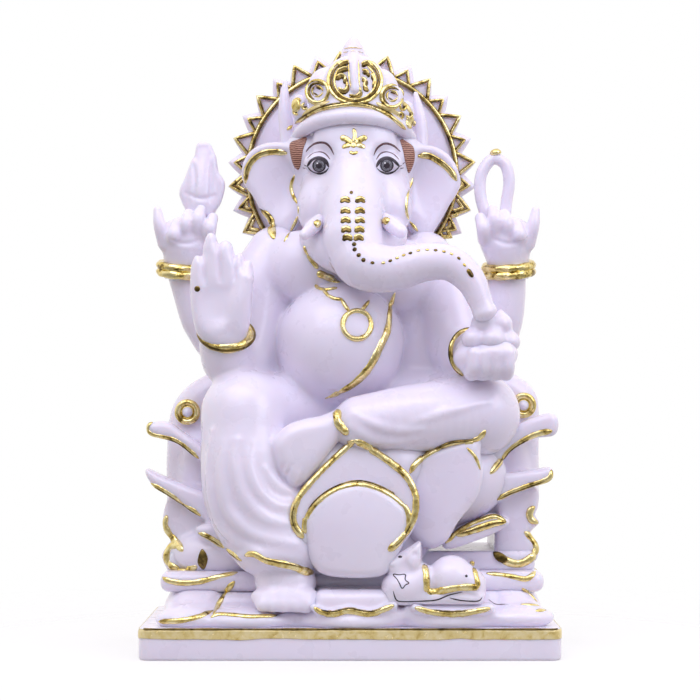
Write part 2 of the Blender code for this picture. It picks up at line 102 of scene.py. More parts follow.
def evenly(line, spacing, closed=False):
    """The same line with points at equal distances."""
    if closed:
        line = np.vstack([line, line[:1]])
    lengths = np.concatenate([[0], np.cumsum(np.linalg.norm(np.diff(line, axis=0), axis=1))])
    count = max(4, int(round(lengths[-1] / spacing)) + 1)
    marks = np.linspace(0, lengths[-1], count)
    if closed:
        marks = marks[:-1]
    return np.stack([np.interp(marks, lengths, column) for column in line.T], 1)


def soften(line, passes, closed=False):
    """The line with its small jumps averaged out. The ends of an open line stay."""
    line = line.copy()
    for _ in range(passes):
        if closed:
            line = (np.roll(line, 1, 0) + line * 2 + np.roll(line, -1, 0)) / 4
        else:
            line[1:-1] = (line[:-2] + line[1:-1] * 2 + line[2:]) / 4
    return line


def arc(centre, radius, start, end, count=9, stretch=1.0):
    """Seen points on a circle, from one angle to another in degrees. stretch scales its height."""
    angles = np.radians(np.linspace(start, end, count))
    x = centre[0] + radius * np.cos(angles)
    z = centre[1] + radius * stretch * np.sin(angles)
    return list(zip(x, z))


def shifted(line, x_shift, z_shift):
    return [(x + x_shift, z + z_shift) for x, z in line]


def round_angles(count):
    """Angles all the way round, at equal steps."""
    return np.arange(count) * 2 * math.pi / count


def rotation(turn):
    """The rotation by degrees about X, then Y, then Z."""
    return Euler([math.radians(angle) for angle in turn]).to_matrix()


def at_depth(points, y):
    """Seen points moved along their lines of sight to the depth y, as (x, z)."""
    share = (y - EYE[1]) / -EYE[1]
    return [(EYE[0] + (x - EYE[0]) * share, EYE[2] + (z - EYE[2]) * share) for x, z in points]


def place(x, y, z):
    """The seen point (x, z) moved along its line of sight to the depth y, as (x, y, z)."""
    (x, z), = at_depth([(x, z)], y)
    return x, y, z


# Clay


class Clay:
    """A solid kept as a field of distances on a grid, so that its lumps melt into each other."""

    def __init__(self, low, high, grain):
        self.low = np.array(low, np.float32)
        self.high = np.array(high, np.float32)
        self.grain = grain
        self.count = np.ceil((self.high - self.low) / grain).astype(int) + 1
        self.field = np.full(self.count, FAR, np.float32)

    def window(self, low, high):
        """The grid cells between two corners, and their coordinates ready for broadcasting."""
        first = np.clip(np.floor((np.array(low) - self.low) / self.grain).astype(int), 0, self.count)
        last = np.clip(np.ceil((np.array(high) - self.low) / self.grain).astype(int) + 1, first, self.count)
        cells = tuple(slice(a, b) for a, b in zip(first, last))
        x, y, z = (
            self.low[i] + self.grain * np.arange(first[i], last[i], dtype=np.float32) for i in range(3)
        )
        return cells, (x[:, None, None], y[None, :, None], z[None, None, :])

    def melt(self, cells, lump, blend, cut=False):
        """Adds a lump, or cuts it out, with a seam that is softened over blend millimetres."""
        old = self.field[cells]
        if cut:
            lump = -lump
        soft = np.maximum(blend - np.abs(old - lump), 0) ** 2 / (4 * blend)
        self.field[cells] = np.maximum(old, lump) + soft if cut else np.minimum(old, lump) - soft

    def ball(self, centre, radii, turn=(0, 0, 0), blend=3.0, cut=False):
        """An ellipsoid."""
        centre = np.array(centre, float)
        reach = max(radii) + blend
        cells, (x, y, z) = self.window(centre - reach, centre + reach)
        axes = rotation(turn).transposed()
        x, y, z = x - centre[0], y - centre[1], z - centre[2]
        local = [(axis[0] * x + axis[1] * y + axis[2] * z) / radius for axis, radius in zip(axes, radii)]
        near = np.sqrt(local[0] ** 2 + local[1] ** 2 + local[2] ** 2)
        slope = np.sqrt(sum((part / radius) ** 2 for part, radius in zip(local, radii)))
        self.melt(cells, near * (near - 1) / np.maximum(slope, 1e-6), blend, cut)
        return self

    def limb(self, *stations, blend=3.0, cut=False):
        """A rounded limb through stations of (x, y, z, radius)."""
        line = spline(stations, 5)
        reach = line[:, 3].max() + blend
        cells, axes = self.window(line[:, :3].min(0) - reach, line[:, :3].max(0) + reach)
        lump = np.full([axis.size for axis in axes], FAR, np.float32)
        for start, end in zip(line, line[1:]):
            reach = max(start[3], end[3]) + blend
            low = np.minimum(start, end)[:3] - reach
            high = np.maximum(start, end)[:3] + reach
            part, (x, y, z) = self.window(low, high)
            inner = tuple(slice(p.start - c.start, p.stop - c.start) for p, c in zip(part, cells))
            step = end - start
            x, y, z = x - start[0], y - start[1], z - start[2]
            along = (x * step[0] + y * step[1] + z * step[2]) / max(float(step[:3] @ step[:3]), 1e-9)
            along = np.clip(along, 0, 1)
            away = np.sqrt(
                (x - along * step[0]) ** 2 + (y - along * step[1]) ** 2 + (z - along * step[2]) ** 2
            )
            lump[inner] = np.minimum(lump[inner], away - start[3] - along * step[3])
        self.melt(cells, lump, blend, cut)
        return self

    def leaf(self, outline, depth, thickness, lip, blend=2.0):
        """A slab with a smooth outline of (x, z) points and rounded lips. depth(x, z) is its middle's y."""
        edge = spline(outline, 5, closed=True)
        reach = blend + 1.0
        middles = np.append(depth(edge[:, 0], edge[:, 1]), depth(*edge.mean(0)))
        low = (edge[:, 0].min() - reach, middles.min() - thickness - reach, edge[:, 1].min() - reach)
        high = (edge[:, 0].max() + reach, middles.max() + thickness + reach, edge[:, 1].max() + reach)
        cells, (x, y, z) = self.window(low, high)
        sideways = outline_distance(edge, x[:, 0, 0], z[0, 0, :])[:, None, :] + lip
        through = np.abs(y - depth(x, z)) - thickness / 2 + lip
        lump = np.minimum(np.maximum(sideways, through), 0) - lip
        lump = lump + np.hypot(np.maximum(sideways, 0), np.maximum(through, 0))
        self.melt(cells, lump.astype(np.float32), blend)
        return self

    def block(self, centre, half, rounding, blend=2.0):
        """A box with rounded edges."""
        centre, half = np.array(centre, float), np.array(half, float)
        cells, axes = self.window(centre - half - blend, centre + half + blend)
        away = [np.abs(axes[i] - centre[i]) - half[i] + rounding for i in range(3)]
        inside = np.minimum(np.maximum(np.maximum(away[0], away[1]), away[2]), 0)
        outside = np.sqrt(sum(np.maximum(part, 0) ** 2 for part in away))
        self.melt(cells, inside + outside - rounding, blend)
        return self

    def trace(self, seen):
        """Where the lines of sight through seen points first meet the clay."""
        y = np.arange(self.low[1], self.high[1], self.grain / 2)
        share = (y - EYE[1]) / -EYE[1]
        found = []
        for x, z in seen:
            line = np.stack([EYE[0] + (x - EYE[0]) * share, y, EYE[2] + (z - EYE[2]) * share], 1)
            cells = np.round((line - self.low) / self.grain).astype(int)
            inside = np.all((cells >= 0) & (cells < self.count), axis=1)
            cells, line = cells[inside], line[inside]
            hits = np.nonzero(self.field[tuple(cells.T)] < 0)[0]
            if len(hits):
                found.append(line[hits[0]])
        return np.array(found)

    def fold(self, seen, radius, blend=2.0, cut=False, sink=0.4, taper=0.35):
        """A soft ridge along a line seen on the clay, or a groove with cut. sink is its share below it."""
        path = self.trace(evenly(spline(seen), 1.5))
        if len(path) < 3:
            return self
        path = soften(path, 3)
        path[:, 1] += radius * sink * (-1 if cut else 1)
        swell = np.sin(math.pi * np.linspace(0, 1, len(path))) ** taper
        stations = np.column_stack([path, radius * np.maximum(swell, 0.1)])
        return self.limb(*stations[:: max(1, len(stations) // 14)], blend=blend, cut=cut)

    def piece(self, name, *nodes):
        """Makes the clay's surface a piece of the idol. It stands for the CAD nodes named."""
        grid = openvdb.FloatGrid(FAR)
        grid.copyFromArray(np.clip(self.field, -FAR, FAR))
        points, quads = grid.convertToQuads(0.0)
        points = calm(points.astype(float), quads.astype(int)) * self.grain + self.low
        add_piece(name, points, quads.tolist(), MARBLE, *nodes)


def outline_distance(edge, x, z):
    """Signed distance of every grid point (x, z) from a closed outline, negative inside."""
    away = np.full((len(x), len(z)), 1e9)
    inside = np.zeros((len(x), len(z)), bool)
    x, z = x[:, None], z[None, :]
    for start, end in zip(edge, np.roll(edge, -1, 0)):
        step = end - start
        along = ((x - start[0]) * step[0] + (z - start[1]) * step[1]) / max(step @ step, 1e-9)
        along = np.clip(along, 0, 1)
        reach = np.hypot(x - start[0] - along * step[0], z - start[1] - along * step[1])
        away = np.minimum(away, reach)
        if start[1] != end[1]:
            crosses = (z >= min(start[1], end[1])) & (z < max(start[1], end[1]))
            inside ^= crosses & (x < start[0] + (z - start[1]) / step[1] * step[0])
    return np.where(inside, -away, away)


def calm(points, quads, passes=3):
    """Irons the grid's steps out of a surface without shrinking it."""
    ends = np.vstack([np.roll(quads, shift, 1)[:, :2] for shift in range(4)])
    degree = np.maximum(np.bincount(ends[:, 0], minlength=len(points)), 1)[:, None]
    for pull in (0.5, -0.52) * passes:
        total = [np.bincount(ends[:, 0], points[ends[:, 1], i], len(points)) for i in range(3)]
        points = points + pull * (np.stack(total, 1) / degree - points)
    return points


# Pieces

SURFACES = []  # a search tree of each white piece, for the gilding to lie on


def add_piece(name, points, faces, material, *nodes, slot=MARBLE_SLOT, carries_gold=True):
    """Makes a smooth piece of the idol from points in millimetres. It stands for the CAD nodes named."""
    mesh = bpy.data.meshes.new(name)
    mesh.from_pydata((np.asarray(points) * UNIT).tolist(), [], faces)
    mesh.shade_smooth()
    mesh.materials.append(material)
    obj = bpy.data.objects.new(name, mesh)
    bpy.context.scene.collection.objects.link(obj)
    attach(obj, "root")
    if nodes:
        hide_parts(*nodes)
    if carries_gold:
        SURFACES.append(BVHTree.FromPolygons(np.asarray(points).tolist(), faces))


def add_gold(name, parts, *nodes, material=None, slot=GOLD_SLOT):
    """Joins several (points, faces) into one piece of gold. It stands for the CAD nodes named."""
    points, faces = join(parts)
    add_piece(name, points, faces, material or GOLD, *nodes, slot=slot, carries_gold=False)


def add_shade(name, parts):
    """Joins several (points, faces) into one piece of dark gold, which paints the shade and dark reflections
    in the gilding's creases and beside its lines. It also gives the dot on the palm its dark gold.
    """
    add_gold(name, parts, material=PAINTED_SHADE_AND_DOT_GOLD)


def add_paint(name, parts, material):
    """Joins several (points, faces) into one piece of paint, which is in no slot."""
    add_gold(name, parts, material=material, slot=None)


def join(parts):
    """Several (points, faces) as one."""
    points, faces, base = [np.zeros((0, 3))], [], 0
    for part_points, part_faces in parts:
        points.append(np.asarray(part_points))
        faces += [[base + index for index in face] for face in part_faces]
        base += len(part_points)
    return np.vstack(points), faces


def wrap(rings, closed):
    """Faces that join rings of equal size one after the other, with capped ends unless closed."""
    count, size = len(rings), len(rings[0])
    faces = []
    for i in range(count if closed else count - 1):
        here, there = i * size, (i + 1) % count * size
        for j in range(size):
            k = (j + 1) % size
            faces.append([here + j, there + j, there + k, here + k])
    if not closed:
        faces.append(list(range(size)))
        faces.append([(count - 1) * size + j for j in reversed(range(size))])
    return np.vstack(rings), faces


def tube(line, radius, closed=False, sides=14, twist=0.0, strands=0, swell=None):
    """A round bar along a line in space, whose radius swell may scale at each point.

    With strands it is a rope of that many, whose twist is in radians a point.
    """
    line = np.asarray(line, float)
    ahead = np.gradient(line, axis=0) if not closed else np.roll(line, -1, 0) - np.roll(line, 1, 0)
    ahead /= np.linalg.norm(ahead, axis=1)[:, None]
    up = np.cross(ahead[0], (0.31, 0.9, 0.2))
    angles = round_angles(sides)
    rings = []
    for i, (point, forward) in enumerate(zip(line, ahead)):
        up = up - forward * (up @ forward)
        up /= np.linalg.norm(up)
        side = np.cross(forward, up)
        size = radius * (swell[i] if swell is not None else 1.0)
        if strands:
            reach = size * (1 + 0.16 * np.abs(np.sin(strands / 2 * angles + twist * i)) - 0.1)
        else:
            reach = np.full(sides, size)
        rings.append(point + np.outer(reach * np.cos(angles), up) + np.outer(reach * np.sin(angles), side))
    return wrap(rings, closed)


def circle(radius, height, centre, turn, count):
    """Points round a circle about its own Z, which turn then tilts about the centre."""
    angles = round_angles(count)
    ring = np.stack([radius * np.cos(angles), radius * np.sin(angles), np.full(count, float(height))], 1)
    return ring @ np.array(rotation(turn)).T + np.array(centre)


def hoop(centre, radius, tube_radius, turn, count=72, **look):
    """A ring about its own Z."""
    return tube(circle(radius, 0, centre, turn, count), tube_radius, closed=True, **look)


def turned(profile, centre, turn, count=64):
    """A solid of revolution about its own Z, from a profile of (radius, height) that runs down."""
    least = 0.02
    rings = [circle(max(radius, least), height, centre, turn, count) for radius, height in profile]
    return wrap(rings, closed=False)


# Gilding and paint


def line_of_sight(x, z):
    """Where the line of sight through a seen point starts, and its direction."""
    start = Vector(EYE)
    return start, (Vector((x, 0.0, z)) - start).normalized()


def sight(x, z):
    """The first white surface on the line of sight through a seen point: (point, outward, tree)."""
    start, direction = line_of_sight(x, z)
    best = None
    for tree in SURFACES:
        point, outward, _, distance = tree.ray_cast(start, direction)
        if point is not None and (best is None or distance < best[0]):
            best = (distance, point, outward, tree)
    return best[1:] if best else None


def sight_near(x, z, last):
    """Like sight, but a line of sight that just misses takes the nearest edge of the last surface."""
    found = sight(x, z)
    if found or last is None:
        return found
    return nearest_edge(x, z, last)


def nearest_edge(x, z, last):
    """The spot of the last spot's surface that is nearest to the line of sight through a seen point."""
    start, direction = line_of_sight(x, z)
    point, outward, tree = last
    for _ in range(4):
        on_ray = start + direction * (point - start).dot(direction)
        point, outward, _, _ = tree.find_nearest(on_ray)
    return point, outward, tree


def stroke(knots, width, height=0.4, closed=False, seed=0.0, ragged=0.14, spacing=0.7, taper=2.5, sink=0.3):
    """A ribbon of gold leaf or paint that lies on the white surfaces along a seen line."""
    seen = evenly(spline(knots, closed=closed), spacing, closed)
    spots, last = [], None
    for x, z in seen:
        found = sight_near(x, z, last)
        if found:
            last = found
            spots.append(found)
    runs = unbroken(spots)
    closed = closed and len(runs) == 1
    return join([ribbon(run, width, height, closed, seed, ragged, spacing, taper, sink) for run in runs])


def unbroken(spots):
    """Splits spots where the line of sight leaps from one surface to another far behind it."""
    runs = [[]]
    for spot in spots:
        if runs[-1] and (spot[0] - runs[-1][-1][0]).length > LEAP:
            runs.append([])
        runs[-1].append(spot)
    return runs


def ribbon(spots, width, height, closed, seed, ragged, spacing, taper, sink):
    """The body of a stroke, through spots that follow each other on a surface."""
    if len(spots) < 4:
        return np.zeros((0, 3)), []
    line = soften(np.array([spot[0] for spot in spots]), 4, closed)
    count = len(line)
    ahead = np.roll(line, -1, 0) - np.roll(line, 1, 0)
    if not closed:
        ahead[0], ahead[-1] = line[1] - line[0], line[-1] - line[-2]
    lanes = np.linspace(-1, 1, 7)
    rings = []
    for i in range(count):
        tree = spots[i][2]
        outward = tree.find_nearest(Vector(line[i]))[1]
        across = Vector(ahead[i]).cross(outward).normalized()
        swell = 1 + ragged * noise.noise(Vector((i * spacing * 0.35, seed, 0.5)))
        if not closed:
            from_end = min(i, count - 1 - i) * spacing
            swell *= math.sqrt(min(1.0, (from_end + 0.15) / taper))
        tops, bottoms = [], []
        for lane in lanes:
            spot, normal, _, _ = tree.find_nearest(Vector(line[i]) + across * (lane * width / 2 * swell))
            rise = height * (1 - lane * lane) ** 0.7 * min(1.0, swell) + 0.03
            tops.append(spot + normal * rise)
            bottoms.append(spot - normal * sink)
        rings.append(np.array(tops + bottoms[::-1]))
    return wrap(rings, closed)


def strokes(lines, width, **look):
    """A stroke along each line, with edges of its own."""
    return [stroke(line, width, seed=index * 3.7, **look) for index, line in enumerate(lines)]


def patch(outline, height=0.12, rings=6, sink=0.2):
    """A filled spot of gold or paint inside a closed seen outline that its centre can see all of."""
    edge = evenly(spline(outline, closed=True), 0.5, closed=True)
    centre = edge.mean(0)
    middle = sight(*centre)
    tops, bottoms = [], []
    for ring in range(1, rings + 1):
        for x, z in centre + (edge - centre) * ring / rings:
            found = sight(x, z)
            if not found or (found[0] - middle[0]).length > 2 * LEAP:
                found = nearest_edge(x, z, middle)
            point, outward, _ = found
            tops.append(point + outward * height * (1.0 if ring < rings else 0.3))
            if ring == rings:
                bottoms.append(point - outward * sink)
    count = len(edge)
    point, outward, _ = middle
    points = np.array(tops + bottoms + [point + outward * height, point - outward * sink])
    faces = []
    top, bottom = len(points) - 2, len(points) - 1
    for j in range(count):
        k = (j + 1) % count
        faces.append([top, j, k])
        faces.append([bottom, rings * count + k, rings * count + j])
        for ring in range(rings):
            here, there = ring * count, (ring + 1) * count
            faces.append([here + j, there + j, there + k, here + k])
    return points, faces


def disc(centre, radius, stretch=1.0, count=20):
    """Seen points all the way round a circle. stretch scales its height."""
    return arc(centre, radius, 0, 360 - 360 / count, count, stretch)


# Materials


class Look:
    """A Principled material and the nodes that vary it. Coordinates are the object's own, in metres."""

    def __init__(self, name, **sockets):
        self.material = bpy.data.materials.new(name)
        self.material.use_nodes = True
        self.nodes = self.material.node_tree.nodes
        self.links = self.material.node_tree.links
        self.shader = self.nodes["Principled BSDF"]
        self.place = self.nodes.new("ShaderNodeTexCoord").outputs["Object"]
        for socket, value in sockets.items():
            self.shader.inputs[socket.replace("_", " ")].default_value = value

    def clouds(self, size, detail=3.0, roughness=0.5, distortion=0.0):
        """Soft noise whose blots are about size millimetres across."""
        made = self.nodes.new("ShaderNodeTexNoise")
        made.inputs["Scale"].default_value = 1 / (size * UNIT)
        made.inputs["Detail"].default_value = detail
        made.inputs["Roughness"].default_value = roughness
        made.inputs["Distortion"].default_value = distortion
        self.links.new(self.place, made.inputs["Vector"])
        return made.outputs["Fac"]

    def ramp(self, source, *stops):
        """A colour ramp with stops of (position, colour)."""
        made = self.nodes.new("ShaderNodeValToRGB")
        while len(made.color_ramp.elements) < len(stops):
            made.color_ramp.elements.new(0.5)
        for element, (position, colour) in zip(made.color_ramp.elements, stops):
            element.position = position
            element.color = (*colour, 1)
        self.links.new(source, made.inputs["Fac"])
        self.links.new(made.outputs["Color"], self.shader.inputs["Base Color"])

    def vary(self, source, socket, low, high, start=0.3, end=0.7):
        """Lets the source swing a socket between two values."""
        made = self.nodes.new("ShaderNodeMapRange")
        made.inputs["From Min"].default_value = start
        made.inputs["From Max"].default_value = end
        made.inputs["To Min"].default_value = low
        made.inputs["To Max"].default_value = high
        self.links.new(source, made.inputs["Value"])
        self.links.new(made.outputs["Result"], self.shader.inputs[socket])

    def bump(self, *sources):
        """Bumps from pairs of (source, height in millimetres), one on top of the other."""
        last = None
        for source, height in sources:
            made = self.nodes.new("ShaderNodeBump")
            made.inputs["Distance"].default_value = height * UNIT
            self.links.new(source, made.inputs["Height"])
            if last:
                self.links.new(last, made.inputs["Normal"])
            last = made.outputs["Normal"]
        self.links.new(last, self.shader.inputs["Normal"])


def marble_look():
    """Polished cast marble: faintly clouded, slightly translucent, and cool in tone."""
    look = Look(
        "marble_white",
        Subsurface_Weight=0.5,
        Subsurface_Radius=(1.0, 0.74, 0.68),
        Subsurface_Scale=4.5 * UNIT,
        Coat_Weight=0.5,
        Coat_Roughness=0.09,
        IOR=1.5,
    )
    large = look.clouds(38, 4.0, 0.55, 0.6)
    look.ramp(large, (0.3, (0.82, 0.77, 0.90)), (0.5, (0.845, 0.80, 0.925)), (0.72, (0.86, 0.82, 0.945)))
    look.vary(look.clouds(9, 4.0), "Roughness", 0.24, 0.36)
    look.bump((look.clouds(6.5, 2.0), 0.05), (look.clouds(0.7, 2.0), 0.004))
    return look.material


def gold_look(name, dark, middle, light, metallic=1.0):
    """Gold leaf brushed on by hand, whose tone and gloss change from spot to spot."""
    look = Look(name, Metallic=metallic, Coat_Weight=0.2, Coat_Roughness=0.1)
    tone = look.clouds(3.4, 4.0, 0.6, 0.6)
    look.ramp(tone, (0.33, dark), (0.42, middle), (0.6, light))
    look.vary(look.clouds(1.6, 3.0), "Roughness", 0.13, 0.28)
    look.bump((look.clouds(2.6, 3.0), 0.3), (look.clouds(0.55, 2.0), 0.02))
    return look.material


def paint_look(name, dark, light, size=0.9):
    """Thin paint whose blots are about size millimetres across."""
    look = Look(name, Coat_Weight=0.3, Coat_Roughness=0.15)
    look.ramp(look.clouds(size, 3.0, 0.6), (0.35, dark), (0.65, light))
    look.vary(look.clouds(1.1, 2.0), "Roughness", 0.35, 0.55)
    look.bump((look.clouds(0.6, 2.0), 0.02))
    return look.material


def hair_look():
    """Brown paint in wavy strands."""
    look = Look("hair_paint", Coat_Weight=0.2)
    strands = look.nodes.new("ShaderNodeTexWave")
    strands.bands_direction = "Z"
    strands.inputs["Scale"].default_value = 0.42 / UNIT
    strands.inputs["Distortion"].default_value = 3.0
    strands.inputs["Detail"].default_value = 3.0
    strands.inputs["Detail Scale"].default_value = 2.0
    look.links.new(look.place, strands.inputs["Vector"])
    look.ramp(
        strands.outputs["Fac"],
        (0.1, (0.13, 0.045, 0.03)),
        (0.55, (0.36, 0.15, 0.09)),
        (0.95, (0.6, 0.33, 0.24)),
    )
    look.vary(look.clouds(1.5, 2.0), "Roughness", 0.35, 0.6)
    look.bump((strands.outputs["Fac"], 0.08))
    return look.material


MARBLE = marble_look()
GOLD = gold_look("gold_leaf", (0.20, 0.13, 0.02), (0.78, 0.61, 0.19), (0.96, 0.85, 0.43))
PALE_GOLD = gold_look("gold_leaf_pale", (0.62, 0.47, 0.15), (0.80, 0.65, 0.26), (0.90, 0.78, 0.42), 0.35)
# Dark gold for painted shade and painted dark reflections in the gilding; it also colours the dot on the
# palm.
PAINTED_SHADE_AND_DOT_GOLD = gold_look("gold_painted_shade_and_dot", (0.03, 0.02, 0.006), (0.12, 0.08, 0.02), (0.28, 0.20, 0.055))
INK = paint_look("ink_paint", (0.012, 0.008, 0.014), (0.04, 0.026, 0.04))
BROWN = paint_look("brow_paint", (0.06, 0.025, 0.035), (0.16, 0.075, 0.09))
IRIS = paint_look("iris_paint", (0.035, 0.035, 0.045), (0.30, 0.30, 0.34), size=0.45)
# White paint for the painted highlight in each eye.
SHINE = paint_look("eye_glint_painted_highlight", (0.88, 0.87, 0.9), (0.96, 0.95, 0.97))
HAIR = hair_look()


# Base and throne


def flat(y):
    """A leaf that stands upright at the depth y."""
    return lambda x, z: y + 0 * x + 0 * z


def curved(y, x0, z0, bow_x=0.0, bow_z=0.0, lean=0.0):
    """A leaf that curves back from its middle (x0, z0) by bow millimetres at 20 mm, and leans with height."""
    return lambda x, z: (
        y + bow_x * ((x - x0) / 20) ** 2 + bow_z * ((z - z0) / 20) ** 2 + lean * (z - z0) / 20
    )


def splayed(y):
    """A leaf that goes back as it reaches out to either side."""
    return lambda x, z: y + 0.07 * (np.abs(x) - 50) + 0 * z


PLINTH_CORNER = 4.5
PLINTH_EDGE = 1.1  # the rounding of its upper and lower edge
PLINTH_FLAT = 3.0  # its flat faces end this far inside its sides
BAND_DROP = 0.35  # from the plinth's top to the gold band's
BAND_HEIGHT = 3.7


def rounded_ring(half_x, half_y, z, shrink=0.0):
    """A rectangle with round corners at the height z, whose sides are moved in by shrink."""
    steps = 10
    reach = max(PLINTH_CORNER - shrink, 0.05)
    points = []
    for corner, (sx, sy) in enumerate(((1, 1), (-1, 1), (-1, -1), (1, -1))):
        for step in range(steps + 1):
            angle = math.pi / 2 * (corner + step / steps)
            x = sx * (half_x - PLINTH_CORNER) + reach * math.cos(angle)
            y = sy * (half_y - PLINTH_CORNER) + reach * math.sin(angle)
            points.append((x, y, z))
    return np.array(points)


def make_plinth():
    half_x, half_y, top = np.array(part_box("plinth")[1]) / UNIT
    flat_half = (half_x - PLINTH_FLAT, half_y - PLINTH_FLAT)
    rings = [rounded_ring(*flat_half, 0)]
    for level, start, end in ((PLINTH_EDGE, -90, 0), (top - PLINTH_EDGE, 0, 90)):
        for angle in np.radians(np.linspace(start, end, 5)):
            shrink = PLINTH_EDGE * (1 - math.cos(angle))
            rings.append(rounded_ring(half_x, half_y, level + PLINTH_EDGE * math.sin(angle), shrink))
    rings.append(rounded_ring(*flat_half, top))
    points, faces = wrap(rings, closed=False)
    add_piece("plinth_block", points, faces, MARBLE, "plinth")
    gild_plinth(half_x, half_y, top - BAND_DROP)


def gild_plinth(half_x, half_y, band_top):
    """A brushed band round the plinth, and a thin dark line along its upper edge at the front, which is
    painted shade under the edge.
    """
    outer = evenly(rounded_ring(half_x, half_y, 0, -0.16), 0.9, closed=True)
    inner = evenly(rounded_ring(half_x, half_y, 0, 0.3), 0.9, closed=True)[: len(outer)]
    rings = []
    for out, back in zip(outer, inner):
        low = band_top - BAND_HEIGHT - 0.55 * noise.noise(Vector((out[0] * 0.11, out[1] * 0.11, 1.7)))
        heights = (low, low + 0.35, (low + band_top) / 2, band_top - 0.9, band_top)
        proud = (0.1, 0.3, 0.34, 0.1, -0.5)
        outward = (out - back) / max(np.linalg.norm(out - back), 1e-6)
        front = [out + outward * rise + (0, 0, height) for height, rise in zip(heights, proud)]
        rear = [back + (0, 0, height) for height in (band_top - 0.5, low + 0.2)]
        rings.append(np.array(front + rear))
    add_gold("plinth_gilding", [wrap(rings, closed=True)], material=PALE_GOLD)
    # Painted shade: a thin dark gold line along the band's upper edge, only at the front.
    edge = evenly(rounded_ring(half_x, half_y, band_top + 0.1, -0.1), 1.2, closed=True)
    front_edge = edge[edge[:, 1] < 1.2 - half_y]
    wander = [0.9 + 0.5 * noise.noise(Vector((x * 0.13, 0.3, 0.9))) for x, _, _ in front_edge]
    add_shade("plinth_gilding_painted_shade", [tube(front_edge, 0.36, sides=8, swell=wander)])


# The petals' lips that hang over the plinth's front
LEDGES = [
    [
        (-13.9, 15.5), (-12.0, 14.0), (-8.9, 13.2), (-5.8, 13.2), (-2.3, 14.2), (0.8, 14.4), (3.9, 13.6),
        (8.5, 13.2), (13.2, 14.8), (17.0, 16.3),
    ],
    [(25.1, 15.4), (31.5, 13.7), (39.8, 13.1), (46.5, 13.6), (54.3, 15.1)],
]


def make_carpet():
    """The lotus petals that are spread over the plinth, with soft lips that hang over its front."""
    clay = Clay((-79, -46.5, 10.5), (79, 44, 31), 0.75)
    clay.block((1, 1, 14.0), (70, 40, 3.2), 3.0)
    clay.block((1, 4, 18.5), (66, 34, 5.0), 4.0, blend=6)
    clay.block((34, -33, 17.6), (20, 9.5, 3.0), 2.4, blend=2)
    clay.block((2.0, -32, 19.6), (16.0, 10.6, 6.2), 4.5, blend=4)
    mounds = ((-59, -34, 13.4, 4.0), (-38, -36, 16, 4.2), (1, -37, 19, 4.4), (37, -36, 17, 4.4))
    for x, y, reach, rise in mounds:
        clay.ball((x, y, 14.2), (reach, 9, rise), blend=3)
    clay.ball((63, -33, 15.0), (13, 10, 4.4), blend=3)
    for ledge in LEDGES:
        clay.limb(*((*place(x, -43.6, z), 1.5) for x, z in ledge), blend=1.5)
    for side in (-1, 1):
        clay.ball((side * 62.5 + 1, 0, 16), (9, 38, 6.5), blend=5)
        clay.ball((side * 56 + 1, -16, 20), (13, 16, 6), (18, 0, 0), blend=5)
    gaps = [
        [(-46.6, 25.6), (-50.5, 20.4), (-54.5, 12.8)],
        [(-20, 23), (-25, 18), (-28.3, 13)],
        [(20, 22), (20, 18), (19.5, 14)],
        [(57, 22), (57, 18), (57, 14)],
    ]
    for gap in gaps:
        clay.fold(gap, 1.1, blend=2.5, cut=True)
    clay.piece("ground_lotus", "ground_petals")


THRONE_OUTLINE = [
    (0, 107), (-46, 107.5), (-58.5, 104.0), (-66, 98), (-70, 90), (-71.2, 76.5), (-71.2, 62), (-69, 50),
    (-60, 46), (0, 44), (60, 45.5), (70, 49), (73, 60), (73.5, 78), (73.5, 91.5), (71.5, 99.5), (63, 106),
    (48, 107.5),
]
SCROLL_RIGHT = [
    (-62, 62), (-68.6, 60), (-71.2, 56), (-72.6, 50.5), (-72.2, 45), (-69.6, 41.5), (-71, 39), (-73, 35.5),
    (-71.5, 31), (-68, 28), (-54, 26.5), (-38, 27), (-36, 42), (-46, 57),
]
SCROLL_LEFT = [
    (72, 61.5), (73, 54.5), (71.8, 51), (73.5, 48), (70, 44), (73, 39), (72.5, 34), (68, 31), (57, 31),
    (56, 42), (57, 49.5), (58, 60),
]
# The outline of each petal at the throne's sides, as it is seen from the front
TONGUES = {
    "petal_right_upper": [
        (-78.5, 83.5), (-78.5, 86), (-76.5, 87.2), (-70.5, 87.0), (-65.5, 83.6), (-58, 78.5), (-50, 72),
        (-49.5, 65), (-54, 69), (-58.5, 72.5), (-63, 76.5), (-67.5, 79.5), (-73, 81), (-77, 82),
    ],
    "petal_right_middle": [
        (-79.5, 68.5), (-78.3, 68.8), (-72.5, 66), (-64, 62.5), (-52.5, 57.5), (-48.5, 46), (-53, 47),
        (-57.5, 50), (-64.5, 55.5), (-71, 59), (-76.5, 62.5), (-79, 66),
    ],
    "petal_right_lower": [
        (-60, 45.0), (-57, 47.5), (-50, 47.5), (-40.5, 43), (-35.5, 34), (-38.5, 30.5), (-42.5, 32.5),
        (-48.5, 37), (-54.5, 41),
    ],
    "petal_left_upper": [
        (81, 87.5), (78.5, 90.5), (73.5, 89.5), (66, 86.5), (58, 80.5), (49.5, 73), (50.5, 66), (54, 66.5),
        (57.5, 71), (62.5, 76), (71, 80.5), (79.5, 82),
    ],
    "petal_left_middle": [
        (78, 69.5), (79, 66.5), (77.5, 64), (69.5, 61.5), (62, 58.5), (57, 56), (50.5, 57.5), (54, 66),
        (64, 67.5), (72, 68.5),
    ],
    "petal_left_lower": [
        (36, 40.5), (43, 46), (49, 49), (55, 51.5), (61, 49.5), (61.5, 47.5), (56, 44), (48.5, 41),
        (41, 38.5), (37, 38),
    ],
}


